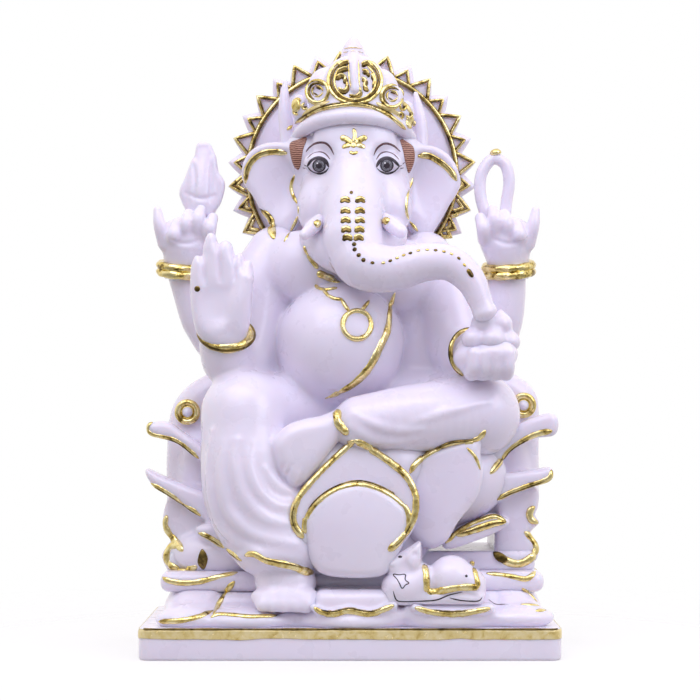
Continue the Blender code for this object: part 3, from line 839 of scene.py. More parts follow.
def make_throne():
    """The cushion, the slab, and the back block with its scrolled legs and side petals in one casting."""
    cushion = Clay((-75, -32, 22), (76, 42, 34), 0.9)
    cushion.block((0.8, 5.5, 27.4), (72.2, 32.5, 3.9), 3.4)
    cushion.piece("cushion", "throne_cushion")
    slab = Clay((-74, -27, 28), (75, 40, 41), 0.9)
    slab.block((0.8, 10, 34.5), (69.5, 27, 3.8), 2.0)
    slab.piece("slab", "throne_slab")
    clay = Clay((-84, -30, 26), (86, 40, 110), 0.75)
    clay.leaf(THRONE_OUTLINE, flat(18), 38, 6.5)
    right_root = [(-64, 76), (-54, 78), (-34, 82), (-30, 50), (-34, 32), (-50, 34), (-58, 48), (-65, 60)]
    left_root = [(34, 82), (54, 84), (66, 80), (69, 62), (60, 50), (46, 44), (34, 44)]
    clay.leaf(at_depth(right_root, -12), flat(-3), 16, 7, blend=9)
    clay.leaf(at_depth(left_root, -12), flat(-3), 14, 6, blend=9)
    clay.ball(place(-50, -12, 36), (19, 12, 9.5), blend=5)
    clay.leaf(at_depth(SCROLL_RIGHT, -14), flat(11), 50, 3, blend=3)
    clay.leaf(at_depth(SCROLL_LEFT, -14), flat(11), 50, 3, blend=3)
    for node, outline in TONGUES.items():
        y = -20 if node.endswith("lower") else -14
        clay.leaf(at_depth(outline, y - 5), splayed(y), 13, 2.6, blend=1.6)
    clay.piece("throne_back", "throne_body", "throne_leg_right", "throne_leg_left", *TONGUES)


def make_rosettes():
    """A gold ring with a white knob, on each side of the throne's front."""
    for side in ("right", "left"):
        low, high = (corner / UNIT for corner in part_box("rosette_" + side))
        x, _, z = (low + high) / 2
        ring = hoop((x, -2.4, z), 3.75, 1.25, UPRIGHT, sides=12)
        inner = turned([(0, 0.9), (2.4, 0.9), (2.8, 0.3), (2.8, 0)], (x, -1.8, z), UPRIGHT, 40)
        add_gold("rosette_ring_" + side, [ring, inner], "rosette_" + side)
        knob = [(0, 1.9), (0.9, 1.6), (1.7, 0.9), (2.0, 0.2), (2.0, -0.4)]
        points, faces = turned(knob, (x, -2.8, z), UPRIGHT, 40)
        add_piece("rosette_knob_" + side, points, faces, MARBLE, carries_gold=False)


# Lotus petals


def make_petals():
    """The lotus under the lap: its heart, and the three petals that stand in front of it."""
    core = Clay((-52, -42, 26), (62, 20, 92), 0.8)
    core.ball((2, -14, 62), (40, 21, 25)).ball((1, -14, 46), (34, 19, 13), blend=6)
    core.ball((32, -14, 66), (28, 18, 19), blend=6).ball((-10, -17, 58), (22, 18, 22), blend=6)
    core.ball((-6, -24, 71), (17, 15, 13), blend=4).ball((15, -23, 72), (16, 16, 12), blend=4)
    core.block((1, -12, 36), (26, 16, 6), 3, blend=5)
    core.ball((-6, -40, 33), (13, 7, 5.0), blend=3, cut=True)
    core.piece("lotus_heart", "lotus_core")

    y = -38.0
    outer = Clay((-27, -52, 24), (30, -22, 86), 0.6)
    outline = [
        (1.5, 82), (0.0, 80.4), (-7.4, 73.2), (-17.5, 63), (-23.4, 52), (-20.5, 42), (-11, 37), (3, 34),
        (14.7, 36), (23.5, 44), (26.8, 55), (23.2, 67), (9.8, 77.8), (3.2, 80.6),
    ]
    outer.leaf(at_depth(outline, y), curved(y + 1, 1.5, 56, -2.0, 0.6, 0.6), 6.5, 2.4)
    outer.piece("petal_front_shell", "petal_front_outer")

    inner = Clay((-22, -56, 20), (27, -22, 68), 0.6)
    outline = [
        (4, 64.3), (-6, 62), (-13, 57.2), (-18.2, 49.5), (-17.2, 40), (-14.5, 31.5), (-7.5, 27.2),
        (11.5, 27.2), (17.5, 33.5), (22.8, 45), (23.6, 51.5), (19.6, 57), (12, 62),
    ]
    inner.leaf(at_depth(outline, y - 4), curved(-40.5, 2.5, 47, 3.4, 2.6, -0.6), 11.0, 3.6)
    inner.piece("petal_front_bulge", "petal_front_inner")

    fan = Clay((12, -48, 30), (60, -14, 92), 0.65)
    y = -32.0
    outline = [
        (52.8, 86), (50, 81.3), (42.5, 79.8), (35, 77.6), (28, 74.0), (23.4, 68.5), (20, 56), (22, 44),
        (30, 38), (37, 40.5), (42, 48.5), (49.3, 58), (51.5, 67), (50.6, 76),
    ]
    fan.leaf(at_depth(outline, y), curved(y + 1, 38, 62, 3.4, 1.6, -1.0), 9.0, 3.2)
    fan.piece("petal_fan", "petal_front_left")


# The figure


def make_figure():
    """Body, arms and legs in one lump of clay, with the folds of the lower cloth."""
    clay = Clay((-77, -54, 15), (76, 28, 172), 0.75)
    clay.ball((0, 4, 140), (30, 14, 21)).ball((0, 8, 122), (33, 14, 27), blend=6)
    clay.ball((-18, -8, 147), (14, 10.5, 14), blend=3).ball((18, -8, 144), (14.5, 9.5, 14), blend=3)
    clay.ball((1, 4, 158), (17, 13, 10), blend=5).ball((0, 2, 100), (36, 16, 14), blend=6)
    for side in (-1, 1):
        clay.ball((side * 29, 0, 114), (13, 11, 24), blend=6)
    clay.ball((-3.8, -9, 117.3), (24.4, 23.5, 24.0), blend=1.4)

    clay.limb((-28, 7, 150, 10), (-38, 10, 141, 10), (-47, 12, 128, 9.6), (-51.5, 12, 120.5, 9.4), blend=5)
    clay.limb(
        (-51.5, 12, 120, 9.4), (-56.8, 10, 127, 9.1), (-60.9, 8, 136, 7.8), (-64.6, 7, 146, 6.9), blend=3
    )
    clay.limb((28, 7, 150, 10), (40, 10, 141, 10), (50, 12, 126, 9.6), (55, 12, 117, 9.8), blend=5)
    clay.limb((54, 12, 117, 9.8), (58.2, 10, 126, 9.2), (60.6, 8, 136, 8.0), (61.5, 7, 146, 7.2), blend=3)
    clay.limb(
        (-29, 0, 152, 11), (-34.5, -2, 142, 11.5), (-37.0, -4, 128, 11.8), (-40, -8, 112, 11.5), blend=2.5
    )
    clay.limb(
        (-42, -8, 110, 11), (-46, -17, 110.5, 10), (-47.5, -22, 115, 9.3), (-48, -25, 120, 8.8), blend=2.5
    )
    clay.limb((29, 0, 150, 11), (35, -3, 141, 11), (38.5, -6, 128, 11), (41, -10, 116, 10.5), blend=2.5)
    clay.limb((42, -10, 114, 10.5), (44, -18, 113, 9.4), (46, -24, 113, 8.2), (47, -27, 113, 7.2), blend=2)

    clay.limb((-14, -2, 90, 14), (-28, -12, 91, 15), (-40, -24, 90.5, 15.2), blend=4)
    clay.limb((-40, -24, 90.5, 15.2), (-40, -28, 74, 16), (-38, -29, 58, 16), (-30, -30, 44, 14), blend=4)
    clay.ball((-27, -28, 50), (21, 13.5, 18), blend=6).ball((-26, -31, 40), (16, 12.5, 9), blend=5)
    clay.limb((14, -2, 92, 13), (32, -11, 91.5, 14.5), (48.6, -20, 90.2, 14.8), blend=4)
    clay.limb(
        (48.6, -20, 90.2, 14.8), (36, -26, 90, 13.6), (20, -31, 88.5, 12.4), (4, -33, 87, 10.5), blend=4
    )
    foot = [
        (-30, 80), (-25, 85.5), (-19, 88), (-11.5, 89.5), (-4.5, 91.5), (-2, 84.5), (-9.5, 73), (-19.5, 62),
        (-26, 66), (-29.5, 73),
    ]
    clay.leaf(at_depth(foot, -38), curved(-36, -18, 78, 1.5, 1.5), 13, 5.0, blend=1.6)

    clay.ball((-24, -33, 28), (11.5, 8.5, 8), blend=2).ball((-24, -38, 23), (12.8, 5.6, 4.8), blend=2)
    for index in range(5):
        x = -32.4 + 4.1 * index
        size = 2.6 if index < 4 else 3.1
        clay.ball((x, -41.6 + 0.2 * (index - 2) ** 2, 20.2), (size * 0.95, 3.2, size), blend=2.4)

    cloth_lines = [
        [(-38.0, 79), (-39.0, 74), (-38.5, 67), (-34, 58.5), (-27, 54.5), (-19.5, 55.0)],
        [(-43.0, 80), (-44.5, 75), (-44, 68), (-40.5, 57.5), (-32, 49.5), (-19.5, 47.0)],
        [(-48.5, 79), (-49.5, 73), (-49.5, 65), (-46.5, 52.5), (-37, 43.5), (-19.5, 39.5)],
        [(-53, 84), (-54.5, 70), (-53, 56), (-47.5, 44), (-34, 37), (-19.5, 34.5)],
        [(-32.5, 69), (-28, 62), (-21, 59.5)],
    ]
    for line in cloth_lines:
        clay.fold(line, 1.9, blend=2.2, sink=0.3, taper=1.0)
    lap_lines = [
        [(1, 80.5), (8, 76.5), (15, 75.5), (21, 76.5)],
        [(0, 85.5), (8, 81.0), (17, 79.5), (25, 80.5)],
        [(2, 90.0), (10, 86.0), (19, 84.0), (28, 84.5)],
        [(24, 87.0), (34, 90.0), (44, 92.8), (54, 95.0)],
    ]
    for line in lap_lines:
        clay.fold(line, 1.3, blend=2.0, sink=0.3, taper=1.0)
    clay.fold([(-43, 35), (-37.5, 37), (-31, 33.5), (-22.5, 31.2), (-13, 29.5)], 1.8, blend=1.5, sink=0.1)
    for index in range(4):
        gap = [(-27.5 + 2.6 * index, 66.5 - 1.2 * index), (-24.5 + 2.6 * index, 72)]
        clay.fold(gap, 0.45, blend=0.8, cut=True)
    clay.fold([(-8, 99), (-4, 97.5), (0, 98)], 0.9, blend=1.5, cut=True)
    clay.piece(
        "figure",
        "belly",
        "torso",
        "right_leg",
        "left_leg",
        "right_foot",
        "left_foot",
        "front_right_arm",
        "front_left_arm",
        "rear_right_arm",
        "rear_left_arm",
    )


def make_hands():
    """The blessing palm, the cupped palm under the sweets, and the two rear hands that grip."""
    palm = Clay((-66, -42, 108), (-32, -16, 164), 0.5)
    palm.limb((-47.4, -23, 114, 7.8), (-47.8, -25, 120, 8.6), (-47.8, -27, 127, 9.4), blend=3)
    mitten = [
        (-58.6, 121), (-61.2, 129), (-62.0, 139), (-61.8, 147), (-60.0, 151.6), (-57.4, 151.6),
        (-56.8, 156), (-55.0, 160.2), (-52.4, 159.8), (-51.0, 156.2), (-48.8, 157.6), (-46.0, 156.2),
        (-44.6, 151.8), (-42.4, 152.8), (-40.8, 149.6), (-38.6, 149.8), (-37.4, 145), (-37.8, 137),
        (-38.8, 128), (-42, 119), (-50, 116),
    ]
    palm.leaf(at_depth(mitten, -31), curved(-29, -49.5, 138, 1.6, -0.6), 9.5, 4.0, blend=3)
    for x, low, high in ((-57.2, 141, 152), (-51.2, 142, 156), (-44.8, 141, 152), (-41.2, 138, 149)):
        palm.fold([(x + 0.8, low), (x + 0.2, (low + high) / 2), (x, high)], 0.75, blend=1.6, cut=True)
    palm.ball((-50.5, -36.2, 131), (6.5, 2.6, 7.5), blend=3, cut=True)
    palm.limb((-42.2, -31.5, 124, 3.4), (-41.2, -32.8, 132, 3.6), (-39.0, -33, 141, 2.8), blend=2.5)
    palm.piece("palm_blessing", "front_right_hand")

    cup = Clay((34, -47, 98), (64, -20, 122), 0.5)
    cup.ball((48.5, -33, 111.5), (10, 9, 6), blend=2).ball((55, -35.5, 113), (7.5, 7.5, 5.5), blend=3)
    cup.limb((45.5, -24, 113.5, 7.3), (48, -30, 112.5, 7.6), blend=3)
    cup.block((51.5, -34.2, 109), (9.3, 6, 5.5), 3.5, blend=2)
    for x in (45.0, 49.4, 53.8, 58.0):
        cup.limb((x, -37.4, 105.5, 2.6), (x + 0.5, -40.2, 108, 2.5), (x + 0.8, -40.6, 113, 2.2), blend=1.3)
    cup.piece("palm_offering", "front_left_hand")

    for side, middle, sign in (("right", -64.5, 1), ("left", 61.8, -1)):
        grip = Clay((middle - 16, -12, 143), (middle + 16, 18, 176), 0.5)
        wrist = (middle - sign * 0.8, 6.6, 144, 7.2)
        grip.limb(wrist, (middle, 6, 150, 8.2), (middle + sign, 5, 156, 9.4), blend=3)
        grip.ball((middle + sign * 0.5, 4, 159), (10.6, 7.4, 8), blend=3)
        for index, top in enumerate((163.5, 167.5, 169, 166)):
            x = middle + sign * (-4.5 + 4.6 * index)
            knuckle = (x + sign, -4.2, top - 4, 2.7)
            grip.limb((x, 0.5, 158, 3.0), knuckle, (x + 2 * sign, -1.5, top, 2.2), blend=1.0)
        thumb = middle - sign * 10.2
        root = (middle - sign * 7, 2, 157, 3.4)
        grip.limb(root, (thumb + sign, -0.5, 163.5, 2.5), (thumb, 0, 169.3, 1.6), blend=1.4)
        grip.fold([(middle - 6, 158), (middle, 156), (middle + 6, 157.5)], 0.6, blend=1.2, cut=True)
        grip.piece("grip_" + side, "rear_" + side + "_hand")


def make_held_things():
    """The bladed bud, the noose and the pile of sweets."""
    bud = Clay((-69, -4, 160), (-45, 12, 198), 0.5)
    bud.limb((-58, 4, 167, 5.2), (-58, 4, 176, 6.2), (-57.4, 4, 184, 5.0), (-56.6, 4, 190, 3.0), blend=2)
    tip = [(-59.2, 195.6), (-54.4, 195.2), (-52.6, 189), (-54, 181), (-60, 181), (-60.4, 189)]
    right_blade = [(-60.4, 189.5), (-64.2, 182), (-66.4, 175.5), (-62, 168), (-57, 176)]
    left_blade = [(-53, 190.5), (-51.4, 184.6), (-48.6, 179.6), (-51, 171), (-56, 170), (-56, 182)]
    bud.leaf(tip, flat(4), 5.0, 1.2)
    bud.leaf(right_blade, flat(3.2), 5.4, 1.8, blend=1.2)
    bud.leaf(left_blade, flat(3.4), 5.0, 1.6)
    bud.fold([(-60.8, 187.5), (-60.2, 181), (-60.8, 172)], 0.7, blend=1.0, cut=True)
    bud.fold([(-53.8, 188), (-53.6, 181), (-54.5, 172)], 0.7, blend=1.0, cut=True)
    bud.fold([(-64, 176), (-58, 173.5), (-52, 175)], 0.6, blend=1.0, cut=True)
    bud.piece("bud", "goad_bud")

    loop = [
        (53.4, 4, 166), (50.9, 4, 175), (51.2, 4, 183.5), (55.4, 4, 189.4), (60.3, 4, 187.5), (62, 4, 181),
        (61.0, 4, 173), (60.2, 4, 166),
    ]
    points, faces = tube(evenly(spline(loop), 0.6), 2.3, sides=24)
    add_piece("noose_loop", points, faces, MARBLE, "noose")
    button = [(0, 1.3), (1.3, 1.0), (2.1, 0.2), (2.3, -0.7), (1.8, -1.2), (0, -1.3)]
    add_gold("noose_cap", [turned(button, (56.6, 3.4, 192.2), (0, -14, 0))])

    sweets = Clay((40, -46, 112), (66, -24, 134), 0.5)
    balls = ((46, -36, 118.5), (53, -38, 118.5), (59, -34, 117.5), (50, -31, 119), (49.8, -35.8, 125))
    for x, y, z in balls + ((56, -34.5, 124.2),):
        sweets.ball((x, y, z), (4.5, 4.5, 4.0), blend=2.0)
        sweets.limb((x, y, z + 1.5, 2.8), (x, y, z + 4.2, 1.2), blend=1.2)
    sweets.piece("sweets_pile", "sweets")


def make_mouse():
    """The mouse that lies beside the foot, with its saddle cloth in the same clay."""
    clay = Clay((8, -50, 15), (56, -22, 46), 0.45)
    clay.ball(place(21, -38, 23.4), (8.6, 8, 6.6), blend=3)
    clay.ball(place(27, -37.5, 25.5), (5.8, 7.5, 7.2), blend=3)
    clay.ball(place(39.2, -37, 26.4), (8.8, 8.5, 8.8), blend=2)
    clay.ball(place(47.3, -36.5, 23.8), (5.2, 7.5, 6.4), blend=3)
    clay.block(place(33, -36.5, 19.4), (17.6, 7.5, 2.2), 2.0, blend=2)
    face = [
        (13.4, 32.0), (14.4, 34.0), (19.5, 36.8), (25.9, 40.2), (27.0, 39.0), (26.8, 33.5), (25.5, 28),
        (19, 27), (15, 29.5),
    ]
    clay.leaf(at_depth(face, -40), curved(-38.5, 20, 33, -2.0, 0, 0), 9.0, 3.4, blend=2.4)
    ear = [(22, 35), (26.4, 40.4), (27.2, 39.2), (27.0, 33.5), (24.5, 31)]
    clay.leaf(at_depth(ear, -40), flat(-40.5), 8.0, 1.4)
    clay.fold([(23.6, 34.6), (25.2, 37.4), (25.8, 35)], 0.6, blend=1.0, cut=True)
    clay.fold([(13.6, 30.9), (15.6, 30.6), (17.6, 31.2)], 0.4, blend=0.6, cut=True)
    clay.fold([(38.2, 20.0), (43.5, 20.8), (49.5, 19.6)], 0.5, blend=1.0, cut=True)
    clay.piece("mouse_body", "mouse", "mouse_saddle")


# Head, crown and halo


def make_head():
    """Head, ears and trunk in one lump of clay, and the two short tusks."""
    clay = Clay((-45, -52, 116), (57, 26, 212), 0.6)
    clay.ball((2.2, 4, 184), (22, 20, 23)).ball((2.2, -3, 176), (20.5, 16.5, 18), blend=5)
    clay.ball((1.6, -10, 194), (16, 8.5, 14), blend=5).ball((2.2, 0, 163), (17, 14, 10), blend=5)
    clay.ball((-11.5, -9.5, 169), (8.8, 8.5, 11), blend=4).ball((15, -9.5, 169), (8.8, 8.5, 11), blend=4)
    clay.ball((-17.5, 1, 191), (7.6, 10, 10), blend=3).ball((21.0, 1, 190), (6.6, 10, 10), blend=3)

    right_ear = [
        (-24.4, 194.6), (-29.4, 195.2), (-35.6, 193.6), (-40.3, 189.6), (-42.2, 183.7), (-40.8, 179.0),
        (-37.8, 174.8), (-34.5, 168.8), (-31.2, 163.4), (-27.7, 157.4), (-25.2, 155.8), (-22.6, 159.5),
        (-19, 165), (-16, 175), (-16, 188),
    ]
    left_ear = [
        (24.0, 193.6), (29.1, 194.2), (34.4, 192.8), (39.0, 189.2), (42.2, 184.1), (43.0, 179.6),
        (41.3, 175.4), (38.6, 171.2), (35.8, 166.1), (32.7, 161.1), (29.8, 156.6), (26.6, 157.4), (22, 163),
        (18, 173), (19, 187),
    ]
    for outline, x in ((right_ear, -20), (left_ear, 22)):
        clay.leaf(at_depth(outline, 2), curved(0.5, x, 176, 3.4, 0, 0), 6.6, 2.6, blend=3)
    clay.ball((-30.0, -4.6, 177), (8.4, 3.6, 12.5), (0, 14, 14), blend=3, cut=True)
    clay.ball((32.4, -4.6, 177), (8.2, 3.6, 12.0), (0, -16, -14), blend=3, cut=True)
    right_rim = [(-23, 193.6), (-29.4, 194.2), (-35.4, 192.7), (-39.6, 188.7), (-41.2, 183)]
    left_rim = [(24, 192.6), (29.5, 193.2), (34.6, 191.6), (39.2, 187.6), (42, 181.5)]
    clay.fold(right_rim, 1.6, blend=1.5, sink=0.1)
    clay.fold(left_rim, 1.4, blend=1.5, sink=0.1)

    for x in (-12.0, 14.3):
        clay.ball((x, -17.5, 187.0), (6.8, 3.0, 4.6), blend=3.5, cut=True)
        clay.ball((x, -12.6, 186.4), (5.8, 4.4, 4.4), blend=0.9)
    clay.limb(
        (1.5, -12, 186, 8.5), (1.5, -15, 176, 10.8), (1.2, -20, 166, 11.8), (1, -26, 156, 10.8), blend=4
    )
    trunk = [
        (1, -26, 156, 10.8), (4.5, -31, 147.2, 9.9), (15, -34, 144.6, 8.6), (27, -36, 147.0, 7.3),
        (37, -37, 146.6, 6.6), (44.6, -38, 140.4, 5.6), (48.6, -39, 131.8, 4.4),
    ]
    clay.limb(*trunk, blend=2.5)
    clay.ball((50, -39.5, 128.2), (4.6, 4.4, 3.2), (0, -20, 0), blend=2)
    clay.limb((-13, -16, 157, 6.2), (-8, -20, 152, 6.4), (-1, -22, 148, 6), blend=3)
    clay.limb((16, -16, 158, 5.8), (12, -20, 154, 6), blend=3)
    clay.piece("head_and_trunk", "head", "trunk", "right_ear", "left_ear")

    right_tusk = ((-11.8, -22, 163.4, 2.6), (-13.8, -25, 161.2, 2.8), (-17.2, -27.5, 157.8, 2.0))
    left_tusk = ((13.2, -22, 164.0, 2.6), (15.6, -26, 161.8, 3.0), (19.0, -29, 159.0, 2.6))
    for side, low, high, stations in (
        ("right", (-26, -40, 148), (-6, -12, 172), right_tusk),
        ("left", (6, -42, 148), (30, -12, 174), left_tusk),
    ):
        tusk = Clay(low, high, 0.4)
        tusk.limb(*stations, blend=1)
        tusk.piece("tusk_" + side, side + "_tusk")


def make_crown():
    """The pointed dome with its two brow bands and medallions in one lump, and a horn on each side."""
    clay = Clay((-28, -30, 192), (32, 32, 239.5), 0.5)
    clay.limb((1.2, 6, 203, 19.0), (1.2, 6, 211, 14.6), (1.2, 5, 217.0, 11.6), blend=4)
    clay.limb((1.2, 4, 222, 5.6), (1.2, 4, 229.5, 4.7), (1.2, 4, 233, 3.3), (1.2, 4, 237.0, 0.7), blend=2)
    clay.ball((-9.0, 2, 216.5), (7.5, 8, 8.5), blend=3).ball((11.4, 2, 216.0), (7.5, 8, 8.5), blend=3)
    steps = 12
    for height, rise, radius, reach in ((195.2, 8.6, 3.2, 76), (201.6, 6.8, 2.0, 74)):
        stations = []
        for step in range(steps + 1):
            angle = math.radians(reach * (2 * step / steps - 1))
            x, y = 1.4 + 22.6 * math.sin(angle), 4 - 22.4 * math.cos(angle)
            stations.append((x, y, height + rise * math.cos(angle), radius * (0.7 + 0.3 * math.cos(angle))))
        clay.limb(*stations, blend=1.2)
    clay.ball((1.8, -15.2, 216.6), (12.0, 3.4, 11.6), (-14, 0, 0), blend=1.2)
    clay.ball((1.8, -18.6, 216.8), (7.8, 2.2, 7.8), (-14, 0, 0), blend=1.5, cut=True)
    clay.limb((1.4, -12.5, 228, 1.8), (1.7, -15.5, 221, 2.2), (2.2, -17, 214, 2.2), blend=1.0)
    for x, z, turn in ((-12.4, 213.2, -30), (15.6, 211.4, 30)):
        clay.ball((x, -13.2, z), (5.4, 3.0, 5.6), (-10, 0, turn), blend=1.2)
        clay.ball((x, -16.0, z), (3.0, 1.6, 3.2), (-10, 0, turn), blend=1.0, cut=True)
    for x, z, turn in ((-19.6, 208.4, -50), (21.6, 206.2, 50)):
        clay.ball((x, -7.5, z), (4.0, 2.6, 4.8), (0, 0, turn), blend=1.2)
    clay.piece("crown", "crown_cap", "crown_band", "crown_front")
    for side, stations in (
        ("right", ((-24, 4, 195, 3.0), (-25.2, 4, 206, 2.7), (-25.6, 4, 214, 1.9), (-25.2, 4, 219.5, 0.9))),
        ("left", ((27.0, 4, 192, 3.4), (27.2, 4, 202, 3.0), (26.4, 4, 210, 1.9), (25.6, 4, 215, 0.9))),
    ):
        horn = Clay((stations[0][0] - 7, -3, 188), (stations[0][0] + 7, 11, 222), 0.45)
        horn.limb(*stations)
        horn.piece("horn_" + side, "crown_horn_" + side)


HALO = (0.8, 21.0, 184.9)
HALO_LINE_RADIUS = 41.3
RAYS = 32
RAY_VALLEY = 44.4  # the rim's radius between two rays
RAY_TIP = 49.3


def make_halo():
    """A plain disc, and a serrated rim whose rays are raised triangles outlined in gold, with painted shade
    in dark gold just inside the gold lines.
    """
    x, y, z = HALO
    profile = [(0, 2.6), (38.6, 2.6), (39.9, 2.2), (40.7, 1.2), (40.7, -2.2), (39.5, -3.0), (0, -3.0)]
    points, faces = turned(profile, HALO, UPRIGHT, 128)
    add_piece("halo_plate", points, faces, MARBLE, "halo_disc")
    steps = 12
    rings = []
    for index in range(RAYS * steps):
        angle = 2 * math.pi * index / (RAYS * steps)
        tooth = 1 - abs(2 * (index / steps % 1) - 1)
        reach = RAY_VALLEY + (RAY_TIP - RAY_VALLEY) * tooth
        front = [(40.4, 1.6), (41.6, 2.6), (reach - 1.0, 1.9), (reach, 1.0)]
        rear = [(reach, -1.2), (reach - 0.8, -2.0), (40.4, -2.0)]
        ring = [(x + r * math.cos(angle), y - d, z + r * math.sin(angle)) for r, d in front + rear]
        rings.append(np.array(ring))
    points, faces = wrap(rings, closed=True)
    add_piece("halo_rim", points, faces, MARBLE, "halo_rays")

    def ray(middle, half, tip, shift=0.0):
        """The two sides of a triangle on the rim, as seen from the front."""
        corners = ((42.0 + shift, middle - half), (tip, middle), (42.0 + shift, middle + half))
        line = np.array([(x + r * math.cos(a), y - 2.9, z + r * math.sin(a)) for r, a in corners])
        return np.vstack([np.linspace(line[0], line[1], 6), np.linspace(line[1], line[2], 6)[1:]])

    gold = [hoop((x, y - 2.8, z), HALO_LINE_RADIUS, 0.95, UPRIGHT, count=160, sides=10)]
    # Painted shade: thinner dark gold lines just inside the ring and each triangle's outline.
    dark = [hoop((x, y - 3.3, z), HALO_LINE_RADIUS - 0.5, 0.62, UPRIGHT, count=160, sides=8)]
    for index in range(RAYS):
        middle = 2 * math.pi * (index + 0.5) / RAYS
        tall = index % 2 == 0
        half = math.radians(5.9 if tall else 4.2)
        tip = 48.4 if tall else 46.6
        gold.append(tube(ray(middle, half, tip), 0.72 if tall else 0.6, sides=8))
        dark.append(tube(ray(middle, half * 0.86, tip - 0.9) - (0, 0.45, 0), 0.38, sides=6))
        if math.sin(middle) < -0.05:
            gold.append(tube(ray(middle, half * 0.55, tip - 2.6, 0.9), 0.8, sides=8))
        if math.sin(middle) < -0.35:
            gold.append(tube(ray(middle + 0.12, half * 0.5, tip - 2.0, 0.5), 0.8, sides=8))
    add_gold("halo_gilding", gold)
    add_shade("halo_gilding_painted_shade", dark)


# Gold and paint


def gild_base():
    """Gold on the lips of the spread petals, the throne's slabs and its scrolled legs, with painted shade in
    dark gold above the lips and in the scrolls' curls.
    """
    carpet = [
        [(-74.0, 9.9), (-69.0, 10.1), (-64.7, 10.5), (-58.1, 12.1), (-53.1, 14.4)],
        [(-44.6, 25.6), (-48.0, 21.4), (-50.4, 17.5), (-52.7, 12.8)],
        [(-53.8, 11.5), (-51.1, 13.0), (-44.2, 12.6), (-39.5, 12.1), (-33.7, 12.2), (-28.3, 12.4)],
        [(65.9, 16.7), (70.5, 16.5), (75.2, 15.9)],
        [(71.7, 14.0), (74.0, 14.4), (76.0, 14.8)],
        [(66.6, 22.8), (69.6, 20.6), (72.4, 17.6)],
    ]
    slabs = [
        [(-73.0, 27.6), (-70.9, 26.0), (-64.3, 24.8), (-57.3, 25.6), (-50.4, 27.6), (-43.4, 29.1)],
        [(52.7, 28.7), (57.7, 28.3), (62.4, 27.6), (68.2, 26.4), (71.5, 29.1), (72.1, 32.2)],
    ]
    add_gold("ground_gilding", strokes(carpet, 2.3) + strokes(LEDGES, 3.0, height=0.5))
    # Painted shade: dark gold lines just above the gold of the lips.
    creases = [shifted(ledge[1:-1], 0, 0.5) for ledge in LEDGES]
    add_shade("ground_gilding_painted_shade", strokes(creases, 0.7, height=0.75, sink=0.1))
    scrolls = [
        [(-70.8, 51.0), (-71.7, 47.9), (-70.4, 44.4), (-67.4, 40.7), (-64.6, 37.2)],
        [
            (-65.1, 38.8), (-68.6, 39.8), (-70.8, 37.2), (-70.8, 32.8), (-66.4, 30.1), (-61.9, 30.1),
            (-59.3, 31.4),
        ],
        [(71.5, 54.4), (69.9, 53.1), (69.5, 51.6), (70.1, 49.3), (72.8, 48.1)],
        [(67.4, 44.6), (69.5, 43.1), (72.2, 38.8), (70.9, 35.4), (66.0, 32.3), (61.2, 33.0), (56.9, 35.7)],
    ]
    add_gold("throne_gilding", strokes(slabs, 2.2) + strokes(scrolls, 3.2, height=0.7))
    # Painted shade: dark gold spots in the curls at the scrolls' ends.
    drop = [(-57.3, 38.0), (-55.0, 34.5), (-56.6, 30.0), (-59.0, 33.0)]
    blob = [(55.4, 36.8), (58.6, 36.4), (61.2, 34.2), (60.6, 32.6), (58.0, 32.9), (56.0, 34.4)]
    add_shade("throne_gilding_painted_shade", [patch(drop), patch(blob, height=0.9)])


